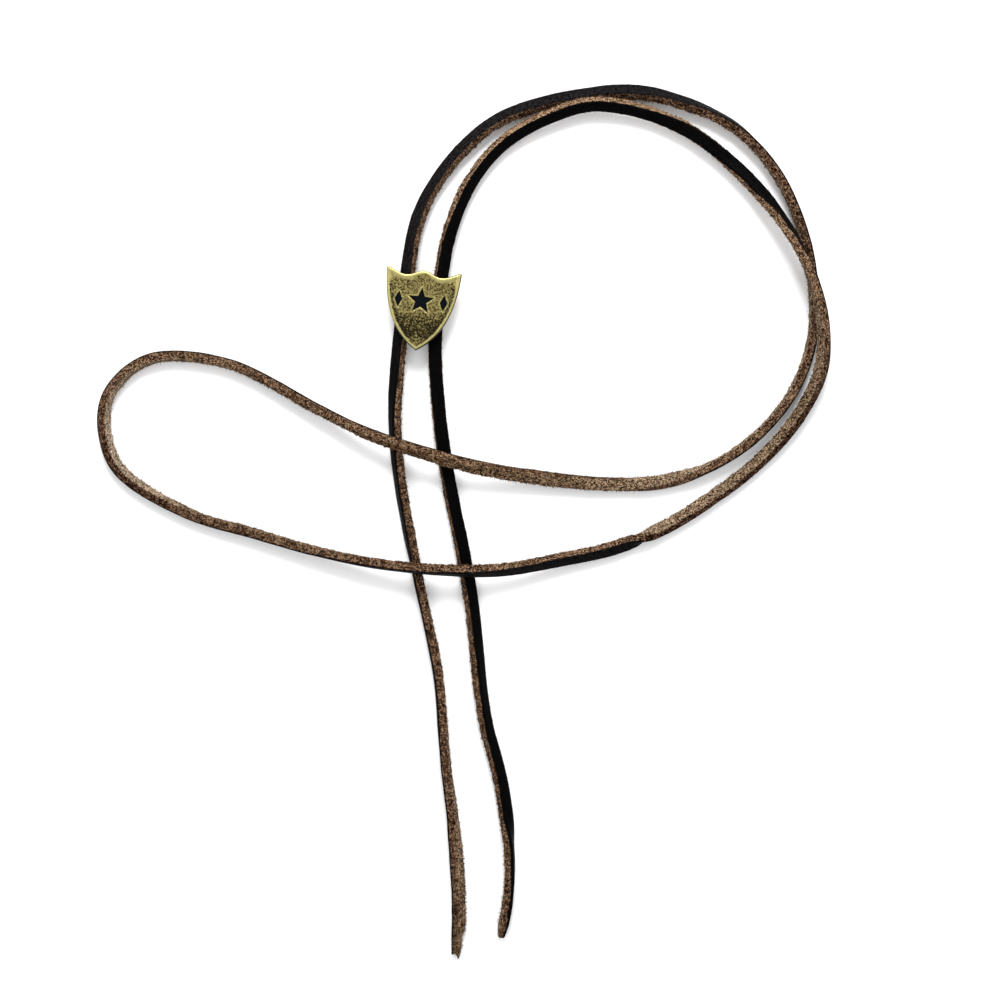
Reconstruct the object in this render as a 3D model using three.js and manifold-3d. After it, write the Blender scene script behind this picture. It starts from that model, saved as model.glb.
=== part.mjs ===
// A leather pendant necklace lying flat: one long square-cut leather lace, doubled through a
// shield-shaped brass slide. The neck loop is crossed over itself and both free ends run down
// from the slide.
//
// Frame: millimetres, +Z up. The surface that the necklace lies on is z = 0. The origin is under
// the middle of the shield, +Y points to the shield's top edge and +X to its right.

import * as THREE from 'three';
import { mergeVertices } from 'three/addons/utils/BufferGeometryUtils.js';
import Module from 'manifold-3d';

// ------------------------------------------------------------------ driving dimensions

const GAP = 0.3;                  // clearance between pieces that touch on the real necklace

const LACE_WIDTH = 3.2;           // across the grain face
const LACE_THICKNESS = 2.4;       // grain face to flesh face
const LACE_CORNER = 0.35;         // softened long edges
const STEPS_PER_POINT = 2;        // sections of the lace from one route point to the next

const SHIELD_HALF_WIDTH = 9.3;
const SHIELD_SPIKE_TOP = 10;      // tips of the two upper spikes, above the origin
const SHIELD_SCOOP = 8.45;        // lowest points of the top edge, between spikes and middle
const SHIELD_CREST = 9.75;        // middle of the top edge
const SHIELD_TIP = -10;           // bottom tip
const SHIELD_THICKNESS = 1.6;
const SHIELD_BEVEL = 0.35;
const SHIELD_CURVE_STEPS = 10;    // facets along each curve of the outline

const ENGRAVING_DEPTH = 0.4;
const ORNAMENT_HEIGHT = 2.2;      // middle of the star and the lozenges, above the origin
const STAR_POINTS = 5;
const STAR_RADIUS = 3.5;
const STAR_WAIST = 0.42;          // radius of the inner corners, as a share of the outer radius
const LOZENGE_WIDTH = 2;
const LOZENGE_HEIGHT = 4.2;
const LOZENGE_OFFSET = 5.6;       // from the middle of the shield

const CLIP_BASE = 0.6;            // floor of the clip, under the strands
const CLIP_WALL = 0.7;            // its two outer walls
const CLIP_HALF_RIB = 1.9;        // half of the rib between the channels
const CHANNEL_WIDTH = 4.5;
const CHANNEL_HEIGHT = 3.8;
const CLIP_LOWER_END = 0.6;       // ends of the clip along the lace, above the origin
const CLIP_UPPER_END = 7.4;
const POST_RADIUS = 0.9;          // cast post on the shield's back, riveted through the rib
const POST_SIDES = 16;

const CLIP_TOP = CLIP_BASE + CHANNEL_HEIGHT;
const SHIELD_BACK = CLIP_TOP + GAP;

// The middle line of the lace seen from above, from the free end of the left tail to the free
// end of the right one. lift is the height of its underside above the surface: it rises into
// the slide's channels, and in long low humps where it crosses other strands.
const ROUTE = [
    // left tail, from its free end up to the slide
    { x: 27.5, y: -157.9, lift: 0 },
    { x: 25.6, y: -142.2, lift: 0 },
    { x: 22.6, y: -126.4, lift: 0 },
    { x: 18.3, y: -108.5, lift: 0 },
    { x: 14.5, y: -89.4, lift: 0 },
    { x: 6.6, y: -65.2, lift: 0 },
    { x: -0.5, y: -42, lift: 0 },
    { x: -3.3, y: -27.9, lift: 0.3 },
    // left channel of the slide
    { x: -4.2, y: -14.5, lift: 0.6 },
    { x: -4.27, y: 3, lift: 0.95 },
    { x: -4.22, y: 12.5, lift: 0.95 },
    // outer arc, over the top and down the right side
    { x: -3.5, y: 21.5, lift: 0.5 },
    { x: -1, y: 29.9, lift: 0.1 },
    { x: 6, y: 41.7, lift: 0 },
    { x: 16.3, y: 51.2, lift: 0 },
    { x: 44, y: 60.2, lift: 0 },
    { x: 59, y: 59.1, lift: 0 },
    { x: 72.9, y: 54.2, lift: 0 },
    { x: 84.1, y: 44.4, lift: 0 },
    { x: 91.9, y: 31.5, lift: 0 },
    { x: 96.2, y: 18.4, lift: 0 },
    { x: 97.7, y: 5.2, lift: 0 },
    { x: 94.7, y: -8.5, lift: 0 },
    { x: 87.3, y: -20.5, lift: 0 },
    { x: 76.8, y: -29.7, lift: 0 },
    // back to the left, over both tails
    { x: 63.8, y: -35.4, lift: 0 },
    { x: 49.8, y: -37.4, lift: 0.3 },
    { x: 35, y: -37.7, lift: 1 },
    { x: 18.8, y: -37, lift: 3.1 },
    { x: 3, y: -34.5, lift: 4.7 },
    { x: -10.1, y: -31.5, lift: 3.4 },
    { x: -22.4, y: -27.1, lift: 1.6 },
    { x: -45.8, y: -18.3, lift: 0.2 },
    // round the left end of the loop
    { x: -64, y: -18.7, lift: 0 },
    { x: -71.4, y: -23.7, lift: 0 },
    { x: -75.3, y: -31, lift: 0 },
    { x: -74.5, y: -39.7, lift: 0 },
    { x: -69.8, y: -47.8, lift: 0 },
    { x: -51.7, y: -56.5, lift: 0 },
    // back to the right, over both tails
    { x: -35.6, y: -59.4, lift: 0.5 },
    { x: -18.5, y: -62.2, lift: 1.5 },
    { x: -3, y: -63.4, lift: 3.3 },
    { x: 12.3, y: -63.1, lift: 4.6 },
    { x: 27.4, y: -61.4, lift: 3.2 },
    { x: 41.9, y: -57.2, lift: 1.4 },
    { x: 55, y: -52.7, lift: 0.5 },
    { x: 66.9, y: -46.1, lift: 0 },
    // up the right side, over the outer arc
    { x: 77.6, y: -37.5, lift: 0 },
    { x: 87.5, y: -27.9, lift: 0 },
    { x: 96.2, y: -15.2, lift: 0.9 },
    { x: 100.3, y: -1.5, lift: 2.4 },
    { x: 95.9, y: 17.3, lift: 4.4 },
    { x: 83.2, y: 35.9, lift: 2.2 },
    // inner arc, back to the slide
    { x: 60.7, y: 52.3, lift: 1 },
    { x: 38.2, y: 56, lift: 1.6 },
    { x: 26, y: 51.4, lift: 1.4 },
    { x: 15.3, y: 43.5, lift: 0.7 },
    { x: 8.4, y: 32.6, lift: 0.7 },
    { x: 4.9, y: 19.9, lift: 0.85 },
    // right channel of the slide, and the right tail down to its free end
    { x: 4.1, y: 5, lift: 0.9 },
    { x: 4.5, y: -7.5, lift: 0.85 },
    { x: 7.6, y: -25.5, lift: 0.4 },
    { x: 12.3, y: -43.2, lift: 0 },
    { x: 16.9, y: -57.3, lift: 0 },
    { x: 20.9, y: -71.1, lift: 0 },
    { x: 27.1, y: -98, lift: 0 },
    { x: 33.3, y: -114.8, lift: 0 },
    { x: 37.2, y: -131.5, lift: 0 },
    { x: 38.2, y: -142.2, lift: 0 },
    { x: 37.5, y: -152.2, lift: 0 },
];

// How the lace is turned about its own length. at is the distance from the left tail's free
// end; lean is how many degrees its black grain face leans from straight up towards the left
// of the direction of travel, so 90 is on edge and 180 is flesh side up.
const LEANS = [
    { at: 0, lean: 130 },
    { at: 23, lean: 127 },
    { at: 39, lean: 98 },
    { at: 59, lean: 83 },
    { at: 91, lean: 84 },
    { at: 110, lean: 70 },
    { at: 132, lean: 62 },
    { at: 150, lean: 39 },
    { at: 165, lean: 33 },
    { at: 186, lean: 37 },
    { at: 210, lean: 41 },
    { at: 238, lean: 32 },
    { at: 252, lean: 30 },
    { at: 263, lean: 44 },
    { at: 274, lean: 63 },
    { at: 291, lean: 83 },
    { at: 380, lean: 91 },
    { at: 392, lean: 150 },
    { at: 404, lean: 186 },
    { at: 428, lean: 210 },
    { at: 457, lean: 246 },
    { at: 476, lean: 261 },
    { at: 510, lean: 268 },
    { at: 535, lean: 262 },
    { at: 563, lean: 251 },
    { at: 586, lean: 264 },
    { at: 637, lean: 280 },
    { at: 673, lean: 312 },
    { at: 692, lean: 316 },
    { at: 701, lean: 225 },
    { at: 718, lean: 219 },
    { at: 748, lean: 233 },
    { at: 768, lean: 249 },
    { at: 782, lean: 270 },
    { at: 797, lean: 300 },
    { at: 811, lean: 344 },
    { at: 826, lean: 378 },
    { at: 846, lean: 411 },
    { at: 897, lean: 408 },
    { at: 914, lean: 384 },
    { at: 937, lean: 364 },
    { at: 959, lean: 372 },
    { at: 975, lean: 388 },
    { at: 986, lean: 388 },
    { at: 998, lean: 402 },
    { at: 1023, lean: 415 },
    { at: 1036, lean: 404 },
    { at: 1052, lean: 402 },
    { at: 1062, lean: 442 },
    { at: 1084, lean: 456 },
];

const UP = new THREE.Vector3(0, 0, 1);

// ------------------------------------------------------------------ materials

const leather = new THREE.MeshStandardMaterial({ color: 0x2a1d18, roughness: 0.8, metalness: 0 });
const antiqueBrass = new THREE.MeshStandardMaterial({ color: 0x9a8a4a, roughness: 0.4, metalness: 1 });
const plainBrass = new THREE.MeshStandardMaterial({ color: 0x8a7a45, roughness: 0.5, metalness: 1 });

// ------------------------------------------------------------------ joining and cutting

const wasm = await Module();
wasm.setup();

// A geometry as a solid that can be joined to others and cut by them.
function toSolid(geometry) {
    const bare = geometry.index ? geometry.toNonIndexed() : geometry.clone();
    bare.deleteAttribute('normal');
    bare.deleteAttribute('uv');
    const merged = mergeVertices(bare, 1e-4);
    const vertProperties = new Float32Array(merged.attributes.position.array);
    const triVerts = new Uint32Array(merged.index.array);
    return new wasm.Manifold(new wasm.Mesh({ numProp: 3, vertProperties, triVerts }));
}

function toGeometry(solid) {
    const mesh = solid.getMesh();
    const geometry = new THREE.BufferGeometry();
    geometry.setAttribute('position', new THREE.BufferAttribute(mesh.vertProperties, 3));
    geometry.setIndex(new THREE.BufferAttribute(mesh.triVerts, 1));
    geometry.computeVertexNormals();
    return geometry;
}

// ------------------------------------------------------------------ lace

// The lean of the lace at a distance from the left tail's free end, eased from row to row.
function leanAt(distance) {
    let row = 1;
    while (row < LEANS.length - 1 && LEANS[row].at < distance) row += 1;
    const before = LEANS[row - 1];
    const after = LEANS[row];
    const share = THREE.MathUtils.smoothstep(distance, before.at, after.at);
    return THREE.MathUtils.degToRad(THREE.MathUtils.lerp(before.lean, after.lean, share));
}

// The lace's cut section, with x from the flesh face to the grain face and y across them.
function laceSectionPoints() {
    const grain = LACE_THICKNESS / 2;
    const side = LACE_WIDTH / 2;
    const corner = LACE_CORNER;
    return [
        new THREE.Vector2(grain, side - corner),
        new THREE.Vector2(grain - corner, side),
        new THREE.Vector2(corner - grain, side),
        new THREE.Vector2(-grain, side - corner),
        new THREE.Vector2(-grain, corner - side),
        new THREE.Vector2(corner - grain, -side),
        new THREE.Vector2(grain - corner, -side),
        new THREE.Vector2(grain, corner - side),
    ];
}

// Height of the middle of the section above its lowest corner, when it is turned by lean.
function heightOfMiddle(lean) {
    const drops = laceSectionPoints().map((p) => p.x * Math.cos(lean) + p.y * Math.sin(lean));
    return Math.max(...drops);
}

// The lace's path: a smooth curve through the route, whose sections stay square to it and turn
// about it by the lean at each place.
class LacePath extends THREE.Curve {
    constructor() {
        super();
        const points = ROUTE.map((p) => new THREE.Vector3(p.x, p.y, p.lift));
        this.route = new THREE.CatmullRomCurve3(points, false, 'centripetal');
        this.route.arcLengthDivisions = (ROUTE.length - 1) * STEPS_PER_POINT * 10;
    }

    stations(steps) {
        const lengths = this.route.getLengths();
        const perStep = (lengths.length - 1) / steps;
        return Array.from({ length: steps + 1 }, (_, k) => {
            const lean = leanAt(lengths[k * perStep]);
            const position = this.route.getPoint(k / steps);
            position.z = Math.max(position.z, 0) + heightOfMiddle(lean);
            const tangent = this.route.getTangent(k / steps);
            const left = new THREE.Vector3().crossVectors(UP, tangent).normalize();
            const normal = new THREE.Vector3().crossVectors(tangent, left)
                .multiplyScalar(Math.cos(lean))
                .addScaledVector(left, Math.sin(lean));
            const binormal = new THREE.Vector3().crossVectors(tangent, normal);
            return { position, tangent, normal, binormal };
        });
    }

    getPoint(t, target = new THREE.Vector3()) {
        return this.route.getPoint(t, target);
    }

    getSpacedPoints(steps) {
        return this.stations(steps).map((s) => s.position);
    }

    computeFrenetFrames(steps) {
        const stations = this.stations(steps);
        return {
            tangents: stations.map((s) => s.tangent),
            normals: stations.map((s) => s.normal),
            binormals: stations.map((s) => s.binormal),
        };
    }
}

function makeLace() {
    const section = new THREE.Shape(laceSectionPoints());
    const geometry = new THREE.ExtrudeGeometry(section, {
        steps: (ROUTE.length - 1) * STEPS_PER_POINT,
        extrudePath: new LacePath(),
    });
    const mesh = new THREE.Mesh(geometry, leather);
    mesh.name = 'lace';
    return mesh;
}

// ------------------------------------------------------------------ shield

// The shield's outline, drawn in by its bevel: a crest and two scoops along the top, a spike at
// each upper corner, and full sides that meet in a tip.
function shieldOutline() {
    const w = SHIELD_HALF_WIDTH;
    const top = SHIELD_SPIKE_TOP;
    const scoop = SHIELD_SCOOP;
    const crest = SHIELD_CREST;
    const tip = SHIELD_TIP;
    const outline = new THREE.Shape();
    outline.moveTo(0, tip);
    outline.bezierCurveTo(0.81 * w, 0.54 * tip, 0.96 * w, 0.3 * top, w, top - 0.3);
    outline.lineTo(w - 0.5, top);
    outline.bezierCurveTo(0.79 * w, 0.93 * top, 0.63 * w, scoop, 0.46 * w, scoop);
    outline.bezierCurveTo(0.31 * w, scoop, 0.14 * w, crest, 0, crest);
    outline.bezierCurveTo(-0.14 * w, crest, -0.31 * w, scoop, -0.46 * w, scoop);
    outline.bezierCurveTo(-0.63 * w, scoop, -0.79 * w, 0.93 * top, 0.5 - w, top);
    outline.lineTo(-w, top - 0.3);
    outline.bezierCurveTo(-0.96 * w, 0.3 * top, -0.81 * w, 0.54 * tip, 0, tip);
    return outline;
}

function starOutline() {
    const corners = Array.from({ length: 2 * STAR_POINTS }, (_, k) => {
        const angle = Math.PI / 2 + (k * Math.PI) / STAR_POINTS;
        const radius = k % 2 ? STAR_RADIUS * STAR_WAIST : STAR_RADIUS;
        return new THREE.Vector2(
            radius * Math.cos(angle),
            ORNAMENT_HEIGHT + radius * Math.sin(angle),
        );
    });
    return new THREE.Shape(corners);
}

function lozengeOutline(side) {
    const x = side * LOZENGE_OFFSET;
    return new THREE.Shape([
        new THREE.Vector2(x + LOZENGE_WIDTH / 2, ORNAMENT_HEIGHT),
        new THREE.Vector2(x, ORNAMENT_HEIGHT + LOZENGE_HEIGHT / 2),
        new THREE.Vector2(x - LOZENGE_WIDTH / 2, ORNAMENT_HEIGHT),
        new THREE.Vector2(x, ORNAMENT_HEIGHT - LOZENGE_HEIGHT / 2),
    ]);
}

function makeShield() {
    const plate = new THREE.ExtrudeGeometry(shieldOutline(), {
        depth: SHIELD_THICKNESS - 2 * SHIELD_BEVEL,
        curveSegments: SHIELD_CURVE_STEPS,
        bevelEnabled: true,
        bevelThickness: SHIELD_BEVEL,
        bevelSize: SHIELD_BEVEL,
        bevelOffset: -SHIELD_BEVEL,
        bevelSegments: 1,
    });
    plate.translate(0, 0, SHIELD_BACK + SHIELD_BEVEL);

    const postTop = SHIELD_BACK + SHIELD_THICKNESS / 2;
    const post = new THREE.CylinderGeometry(POST_RADIUS, POST_RADIUS, postTop - GAP, POST_SIDES);
    post.rotateX(Math.PI / 2);
    post.translate(0, (CLIP_LOWER_END + CLIP_UPPER_END) / 2, (postTop + GAP) / 2);

    let solid = toSolid(plate).add(toSolid(post));
    const front = SHIELD_BACK + SHIELD_THICKNESS;
    for (const outline of [starOutline(), lozengeOutline(-1), lozengeOutline(1)]) {
        const cutter = new THREE.ExtrudeGeometry(outline, {
            depth: 2 * ENGRAVING_DEPTH,
            bevelEnabled: false,
        });
        cutter.translate(0, 0, front - ENGRAVING_DEPTH);
        solid = solid.subtract(toSolid(cutter));
    }
    const mesh = new THREE.Mesh(toGeometry(solid), antiqueBrass);
    mesh.name = 'shield';
    return mesh;
}

// ------------------------------------------------------------------ back clip

// A floor, two outer walls and a middle rib, drawn from the end and run along the lace: the
// strands lie in the two channels, which the shield closes. The rib is bored for the post.
function makeBackClip() {
    const inner = CLIP_HALF_RIB + CHANNEL_WIDTH;
    const outer = inner + CLIP_WALL;
    const profile = new THREE.Shape([
        new THREE.Vector2(-outer, 0),
        new THREE.Vector2(outer, 0),
        new THREE.Vector2(outer, CLIP_TOP),
        new THREE.Vector2(inner, CLIP_TOP),
        new THREE.Vector2(inner, CLIP_BASE),
        new THREE.Vector2(CLIP_HALF_RIB, CLIP_BASE),
        new THREE.Vector2(CLIP_HALF_RIB, CLIP_TOP),
        new THREE.Vector2(-CLIP_HALF_RIB, CLIP_TOP),
        new THREE.Vector2(-CLIP_HALF_RIB, CLIP_BASE),
        new THREE.Vector2(-inner, CLIP_BASE),
        new THREE.Vector2(-inner, CLIP_TOP),
        new THREE.Vector2(-outer, CLIP_TOP),
    ]);
    const body = new THREE.ExtrudeGeometry(profile, {
        depth: CLIP_UPPER_END - CLIP_LOWER_END,
        bevelEnabled: false,
    });
    body.rotateX(Math.PI / 2);
    body.translate(0, CLIP_UPPER_END, 0);

    const bore = new THREE.CylinderGeometry(
        POST_RADIUS + GAP, POST_RADIUS + GAP, 3 * CLIP_TOP, POST_SIDES,
    );
    bore.rotateX(Math.PI / 2);
    bore.translate(0, (CLIP_LOWER_END + CLIP_UPPER_END) / 2, 0);

    const mesh = new THREE.Mesh(toGeometry(toSolid(body).subtract(toSolid(bore))), plainBrass);
    mesh.name = 'back_clip';
    return mesh;
}

// ------------------------------------------------------------------ the necklace

const necklace = new THREE.Group();
necklace.add(makeLace(), makeShield(), makeBackClip());

export default necklace;
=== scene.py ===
import sys
import logging
import math
from collections.abc import Sequence
from dataclasses import dataclass
from enum import Enum
from functools import cache, reduce

import bmesh
import bpy
import numpy as np
from bpy.types import ID, Material, Mesh, Node, NodeSocket, NodeTree, Object
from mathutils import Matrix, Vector
from mathutils.geometry import delaunay_2d_cdt


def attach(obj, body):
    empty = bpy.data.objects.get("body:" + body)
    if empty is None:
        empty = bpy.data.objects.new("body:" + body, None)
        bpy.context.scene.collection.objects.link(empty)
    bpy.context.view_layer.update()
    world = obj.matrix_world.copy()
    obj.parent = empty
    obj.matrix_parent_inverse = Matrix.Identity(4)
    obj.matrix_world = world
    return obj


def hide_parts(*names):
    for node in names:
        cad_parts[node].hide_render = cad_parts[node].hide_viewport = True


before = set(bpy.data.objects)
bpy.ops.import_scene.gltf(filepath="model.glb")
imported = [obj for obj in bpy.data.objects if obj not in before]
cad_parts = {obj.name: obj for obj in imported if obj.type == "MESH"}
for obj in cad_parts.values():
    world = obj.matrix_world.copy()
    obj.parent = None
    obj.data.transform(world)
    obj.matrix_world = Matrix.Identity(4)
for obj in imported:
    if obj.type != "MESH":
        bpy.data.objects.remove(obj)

# A leather pendant necklace lying flat: one long square-cut lace, doubled through a
# shield-shaped brass slide. Lengths are in metres; the shield is drawn in millimetres.

MM = 0.001
ROOT = "root"

Colour = tuple[float, float, float, float]
Span = tuple[float, float]
Wires = dict[str, object]
Output = NodeSocket

# The middle of the three patterns that a noise gives as a colour.
MID_COLOUR = (0.5, 0.5, 0.5)

log = logging.getLogger("necklace")


class TreeKind(Enum):
    """The two kinds of node tree that are built here."""

    GEOMETRY = "GeometryNodeTree"
    SHADER = "ShaderNodeTree"


class Socket(Enum):
    """The kinds of named input and output that a tree can have."""

    GEOMETRY = "NodeSocketGeometry"
    NUMBER = "NodeSocketFloat"
    COUNT = "NodeSocketInt"
    VECTOR = "NodeSocketVector"
    COLOUR = "NodeSocketColor"
    MATERIAL = "NodeSocketMaterial"


class Tree:
    """A node tree while it is being wired up."""

    def __init__(self, nodes: NodeTree) -> None:
        """Starts wiring in an existing tree; only a named one has inputs to read."""
        self.nodes = nodes
        self.given: dict[str, Output] = {}

    @classmethod
    def named(cls, name: str, kind: TreeKind, inlets: dict[str, Socket],
              outlets: dict[str, Socket] | None = None) -> "Tree":
        """Makes a node group; a geometry tree also takes and puts out Geometry.

        Args:
            name: The group's name.
            kind: Geometry or shader.
            inlets: What each of its named inputs carries.
            outlets: What each of its named outputs carries.

        Returns:
            The tree, with its inputs in given.
        """
        tree = cls(bpy.data.node_groups.new(name, kind.value))
        through = {"Geometry": Socket.GEOMETRY} if kind is TreeKind.GEOMETRY else {}
        for way, sockets in (("INPUT", inlets), ("OUTPUT", outlets or {})):
            for label, carried in {**through, **sockets}.items():
                tree.nodes.interface.new_socket(label, in_out=way, socket_type=carried.value)
        tree.given = tree.add("NodeGroupInput").outputs
        return tree

    @classmethod
    def shaping(cls, name: str, sizes: Wires) -> "Tree":
        """Makes a geometry tree with an input for every size, of the kind that the size is."""
        kinds = {float: Socket.NUMBER, int: Socket.COUNT, Material: Socket.MATERIAL}
        return cls.named(name, TreeKind.GEOMETRY, {k: kinds[type(v)] for k, v in sizes.items()})

    def plug(self, node: Node, name: str, value: object) -> None:
        """Wires an output into a node's input, or sets the input to a constant.

        Args:
            node: The node that receives the value.
            name: The identifier or the name of its input.
            value: An output of another node, or a constant.
        """
        known = {s.name: s for s in reversed(node.inputs)}
        known.update({s.identifier: s for s in node.inputs})
        if isinstance(value, NodeSocket):
            self.nodes.links.new(value, known[name])
        else:
            known[name].default_value = value

    def add(self, kind: str, wires: Wires | None = None, **settings: object) -> Node:
        """Adds one node.

        Args:
            kind: The node's type.
            wires: Its inputs by identifier or name.
            settings: Its own properties.

        Returns:
            The new node.
        """
        node = self.nodes.nodes.new(kind)
        for name, value in settings.items():
            setattr(node, name, value)
        for name, value in (wires or {}).items():
            self.plug(node, name, value)
        return node

    def out(self, kind: str, wires: Wires | None = None, **settings: object) -> Output:
        """Adds one node and returns its first output; takes what add takes."""
        return self.add(kind, wires, **settings).outputs[0]

    def sum(self, operation: str, a: object, b: object = 0.0) -> Output:
        """Works out a sum of one or two numbers, such as MAXIMUM."""
        return self.out("ShaderNodeMath", {"Value": a, "Value_001": b}, operation=operation)

    def plus(self, a: object, b: object) -> Output:
        """Adds two numbers."""
        return self.sum("ADD", a, b)

    def less(self, a: object, b: object) -> Output:
        """Takes the second number away from the first."""
        return self.sum("SUBTRACT", a, b)

    def product(self, *factors: object) -> Output:
        """Multiplies numbers, from the first to the last."""
        return reduce(lambda a, b: self.sum("MULTIPLY", a, b), factors)

    def times(self, vector: object, by: object) -> Output:
        """Makes a vector longer or shorter by a number."""
        return self.out("ShaderNodeVectorMath", {"Vector": vector, "Scale": by}, operation="SCALE")

    def combine(self, operation: str, a: object, b: object = (0.0, 0.0, 0.0)) -> Output:
        """Works out a sum of one or two vectors, such as ADD."""
        return self.out("ShaderNodeVectorMath", {"Vector": a, "Vector_001": b}, operation=operation)

    def measure(self, operation: str, a: object, b: object) -> Output:
        """Works out a sum of two vectors that comes to one number, such as DISTANCE."""
        return self.combine(operation, a, b).node.outputs["Value"]

    def ramp(self, value: object, low: object, high: object, start: object = 0.0,
             end: object = 1.0) -> Output:
        """Eases from start to end while a number goes from low to high."""
        wires = {"Value": value, "From Min": low, "From Max": high, "To Min": start, "To Max": end}
        return self.out("ShaderNodeMapRange", wires, interpolation_type="SMOOTHSTEP")

    def noise(self, place: object, scale: object, detail: float = 2.0, seed: float = 0.0,
              rough: float = 0.5, colour: bool = False) -> Output:
        """Reads a soft random pattern.

        Args:
            place: Where it is read.
            scale: How many features there are to one unit.
            detail: How many finer layers it has.
            seed: Which pattern it is.
            rough: How strong the finer layers are.
            colour: True for three patterns at once.

        Returns:
            The pattern, around 0.5.
        """
        wires = {"Vector": place, "W": seed, "Scale": scale, "Detail": detail, "Roughness": rough}
        node = self.add("ShaderNodeTexNoise", wires, noise_dimensions="4D")
        return node.outputs["Color" if colour else "Fac"]

    def swing(self, place: object, scale: object, **settings: float) -> Output:
        """Reads noise, with its settings, as a pattern that swings about zero."""
        return self.less(self.noise(place, scale, **settings), 0.5)

    def mix(self, factor: object, a: object, b: object) -> Output:
        """Mixes two colours: the factor is 0 for the first and 1 for the second."""
        node = self.add("ShaderNodeMix", {"Factor_Float": factor, "A_Color": a, "B_Color": b},
                        data_type="RGBA")
        return next(s for s in node.outputs if s.identifier == "Result_Color")

    def lerp(self, factor: object, a: object, b: object) -> Output:
        """Mixes two numbers: the factor is 0 for the first and 1 for the second."""
        wires = {"Factor_Float": factor, "A_Float": a, "B_Float": b}
        return self.out("ShaderNodeMix", wires, data_type="FLOAT")

    def split(self, vector: object) -> tuple[Output, ...]:
        """Takes a vector apart into its three numbers."""
        return tuple(self.add("ShaderNodeSeparateXYZ", {"Vector": vector}).outputs)

    def joined(self, x: object, y: object, z: object) -> Output:
        """Makes a vector of three numbers."""
        return self.out("ShaderNodeCombineXYZ", {"X": x, "Y": y, "Z": z})

    def painted(self, name: str, part: str = "Vector") -> Output:
        """Reads, in a material, what a mesh holds under a name."""
        return self.add("ShaderNodeAttribute", attribute_name=name).outputs[part]

    def group(self, nodes: NodeTree, **wires: object) -> Node:
        """Places a node group in a material."""
        return self.add("ShaderNodeGroup", wires, node_tree=nodes)

    def bump(self, shader: Node, height: object, strength: float, depth: float) -> None:
        """Lets a height pattern, depth millimetres deep, tilt the light on a surface."""
        wires = {"Strength": strength, "Distance": depth * MM, "Height": height}
        self.plug(shader, "Normal", self.out("ShaderNodeBump", wires))

    def here(self) -> Output:
        """Reads, in a geometry tree, where a point is."""
        return self.out("GeometryNodeInputPosition")

    def kept(self, name: str, kind: str = "FLOAT_VECTOR") -> Output:
        """Reads, in a geometry tree, what a mesh holds under a name."""
        return self.out("GeometryNodeInputNamedAttribute", {"Name": name}, data_type=kind)

    def stored(self, geometry: Output, name: str, value: Output, kind: str) -> Output:
        """Writes a value under a name at every corner of a mesh."""
        wires = {"Geometry": geometry, "Name": name, "Value": value}
        return self.out("GeometryNodeStoreNamedAttribute", wires, data_type=kind, domain="POINT")

    def captured(self, geometry: Output,
                 values: dict[str, tuple[str, Output]]) -> dict[str, Output]:
        """Reads values before a shape is changed, for use after that.

        Args:
            geometry: The shape as it is now.
            values: Each value's kind and where it comes from, by name.

        Returns:
            The shape, under Geometry, and the values.
        """
        node = self.add("GeometryNodeCaptureAttribute", {"Geometry": geometry})
        for name, (kind, value) in values.items():
            node.capture_items.new(kind, name)
            self.plug(node, name, value)
        return node.outputs

    def finish(self, geometry: Output, material: str) -> "Tree":
        """Ends a geometry tree: real faces, in one material.

        Args:
            geometry: The finished shape.
            material: The name of the tree's material input.

        Returns:
            The tree itself.
        """
        solid = self.out("GeometryNodeRealizeInstances", {"Geometry": geometry})
        wires = {"Geometry": solid, "Material": self.given[material]}
        self.add("NodeGroupOutput", {"Geometry": self.out("GeometryNodeSetMaterial", wires)})
        return self


def make_with_nodes(source: Object, tree: Tree, sizes: Wires, name: str) -> Object:
    """Runs a geometry tree on an object and keeps the result as a plain mesh.

    Args:
        source: The object that the tree starts from, which is used up.
        tree: The geometry tree.
        sizes: The tree's named inputs.
        name: The finished piece's name.

    Returns:
        The finished piece, at the origin.
    """
    modifier = source.modifiers.new(tree.nodes.name, "NODES")
    modifier.node_group = tree.nodes
    for item in tree.nodes.interface.items_tree:
        if item.item_type == "SOCKET" and item.in_out == "INPUT" and item.name in sizes:
            modifier[item.identifier] = sizes[item.name]
    return flattened(source, name)


def flattened(source: Object, name: str) -> Object:
    """Turns an object with its modifiers into a plain mesh.

    Args:
        source: The object, which is used up.
        name: The finished piece's name.

    Returns:
        The finished piece, at the origin.
    """
    graph = bpy.context.evaluated_depsgraph_get()
    mesh = bpy.data.meshes.new_from_object(
        source.evaluated_get(graph), preserve_all_data_layers=True, depsgraph=graph)
    mesh.name = name
    bpy.data.objects.remove(source)
    made = bpy.data.objects.new(name, mesh)
    bpy.context.scene.collection.objects.link(made)
    return made


def in_fixed_order(mesh: Mesh) -> Mesh:
    """Rebuilds a mesh with its corners and faces in an order that only their places decide.

    A boolean leaves the same shape in an order that changes from run to run.

    Args:
        mesh: The mesh, which is used up.

    Returns:
        The same shape under the same name.
    """
    places = np.array([corner.co for corner in mesh.vertices])
    order = np.lexsort(places.T)
    rank = np.argsort(order)
    faces = []
    for polygon in mesh.polygons:
        corners = [int(rank[k]) for k in polygon.vertices]
        first = corners.index(min(corners))
        faces.append(corners[first:] + corners[:first])
    ordered = bpy.data.meshes.new("ordered")
    ordered.from_pydata(places[order].tolist(), [], sorted(faces))
    name = mesh.name
    mesh.name = "unordered"
    ordered.name = name
    return ordered


def placed(name: str, data: ID) -> Object:
    """Puts new data into the scene.

    Args:
        name: The object's name.
        data: A mesh, curve, light or camera.

    Returns:
        The new object.
    """
    made = bpy.data.objects.new(name, data)
    bpy.context.scene.collection.objects.link(made)
    return made


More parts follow.
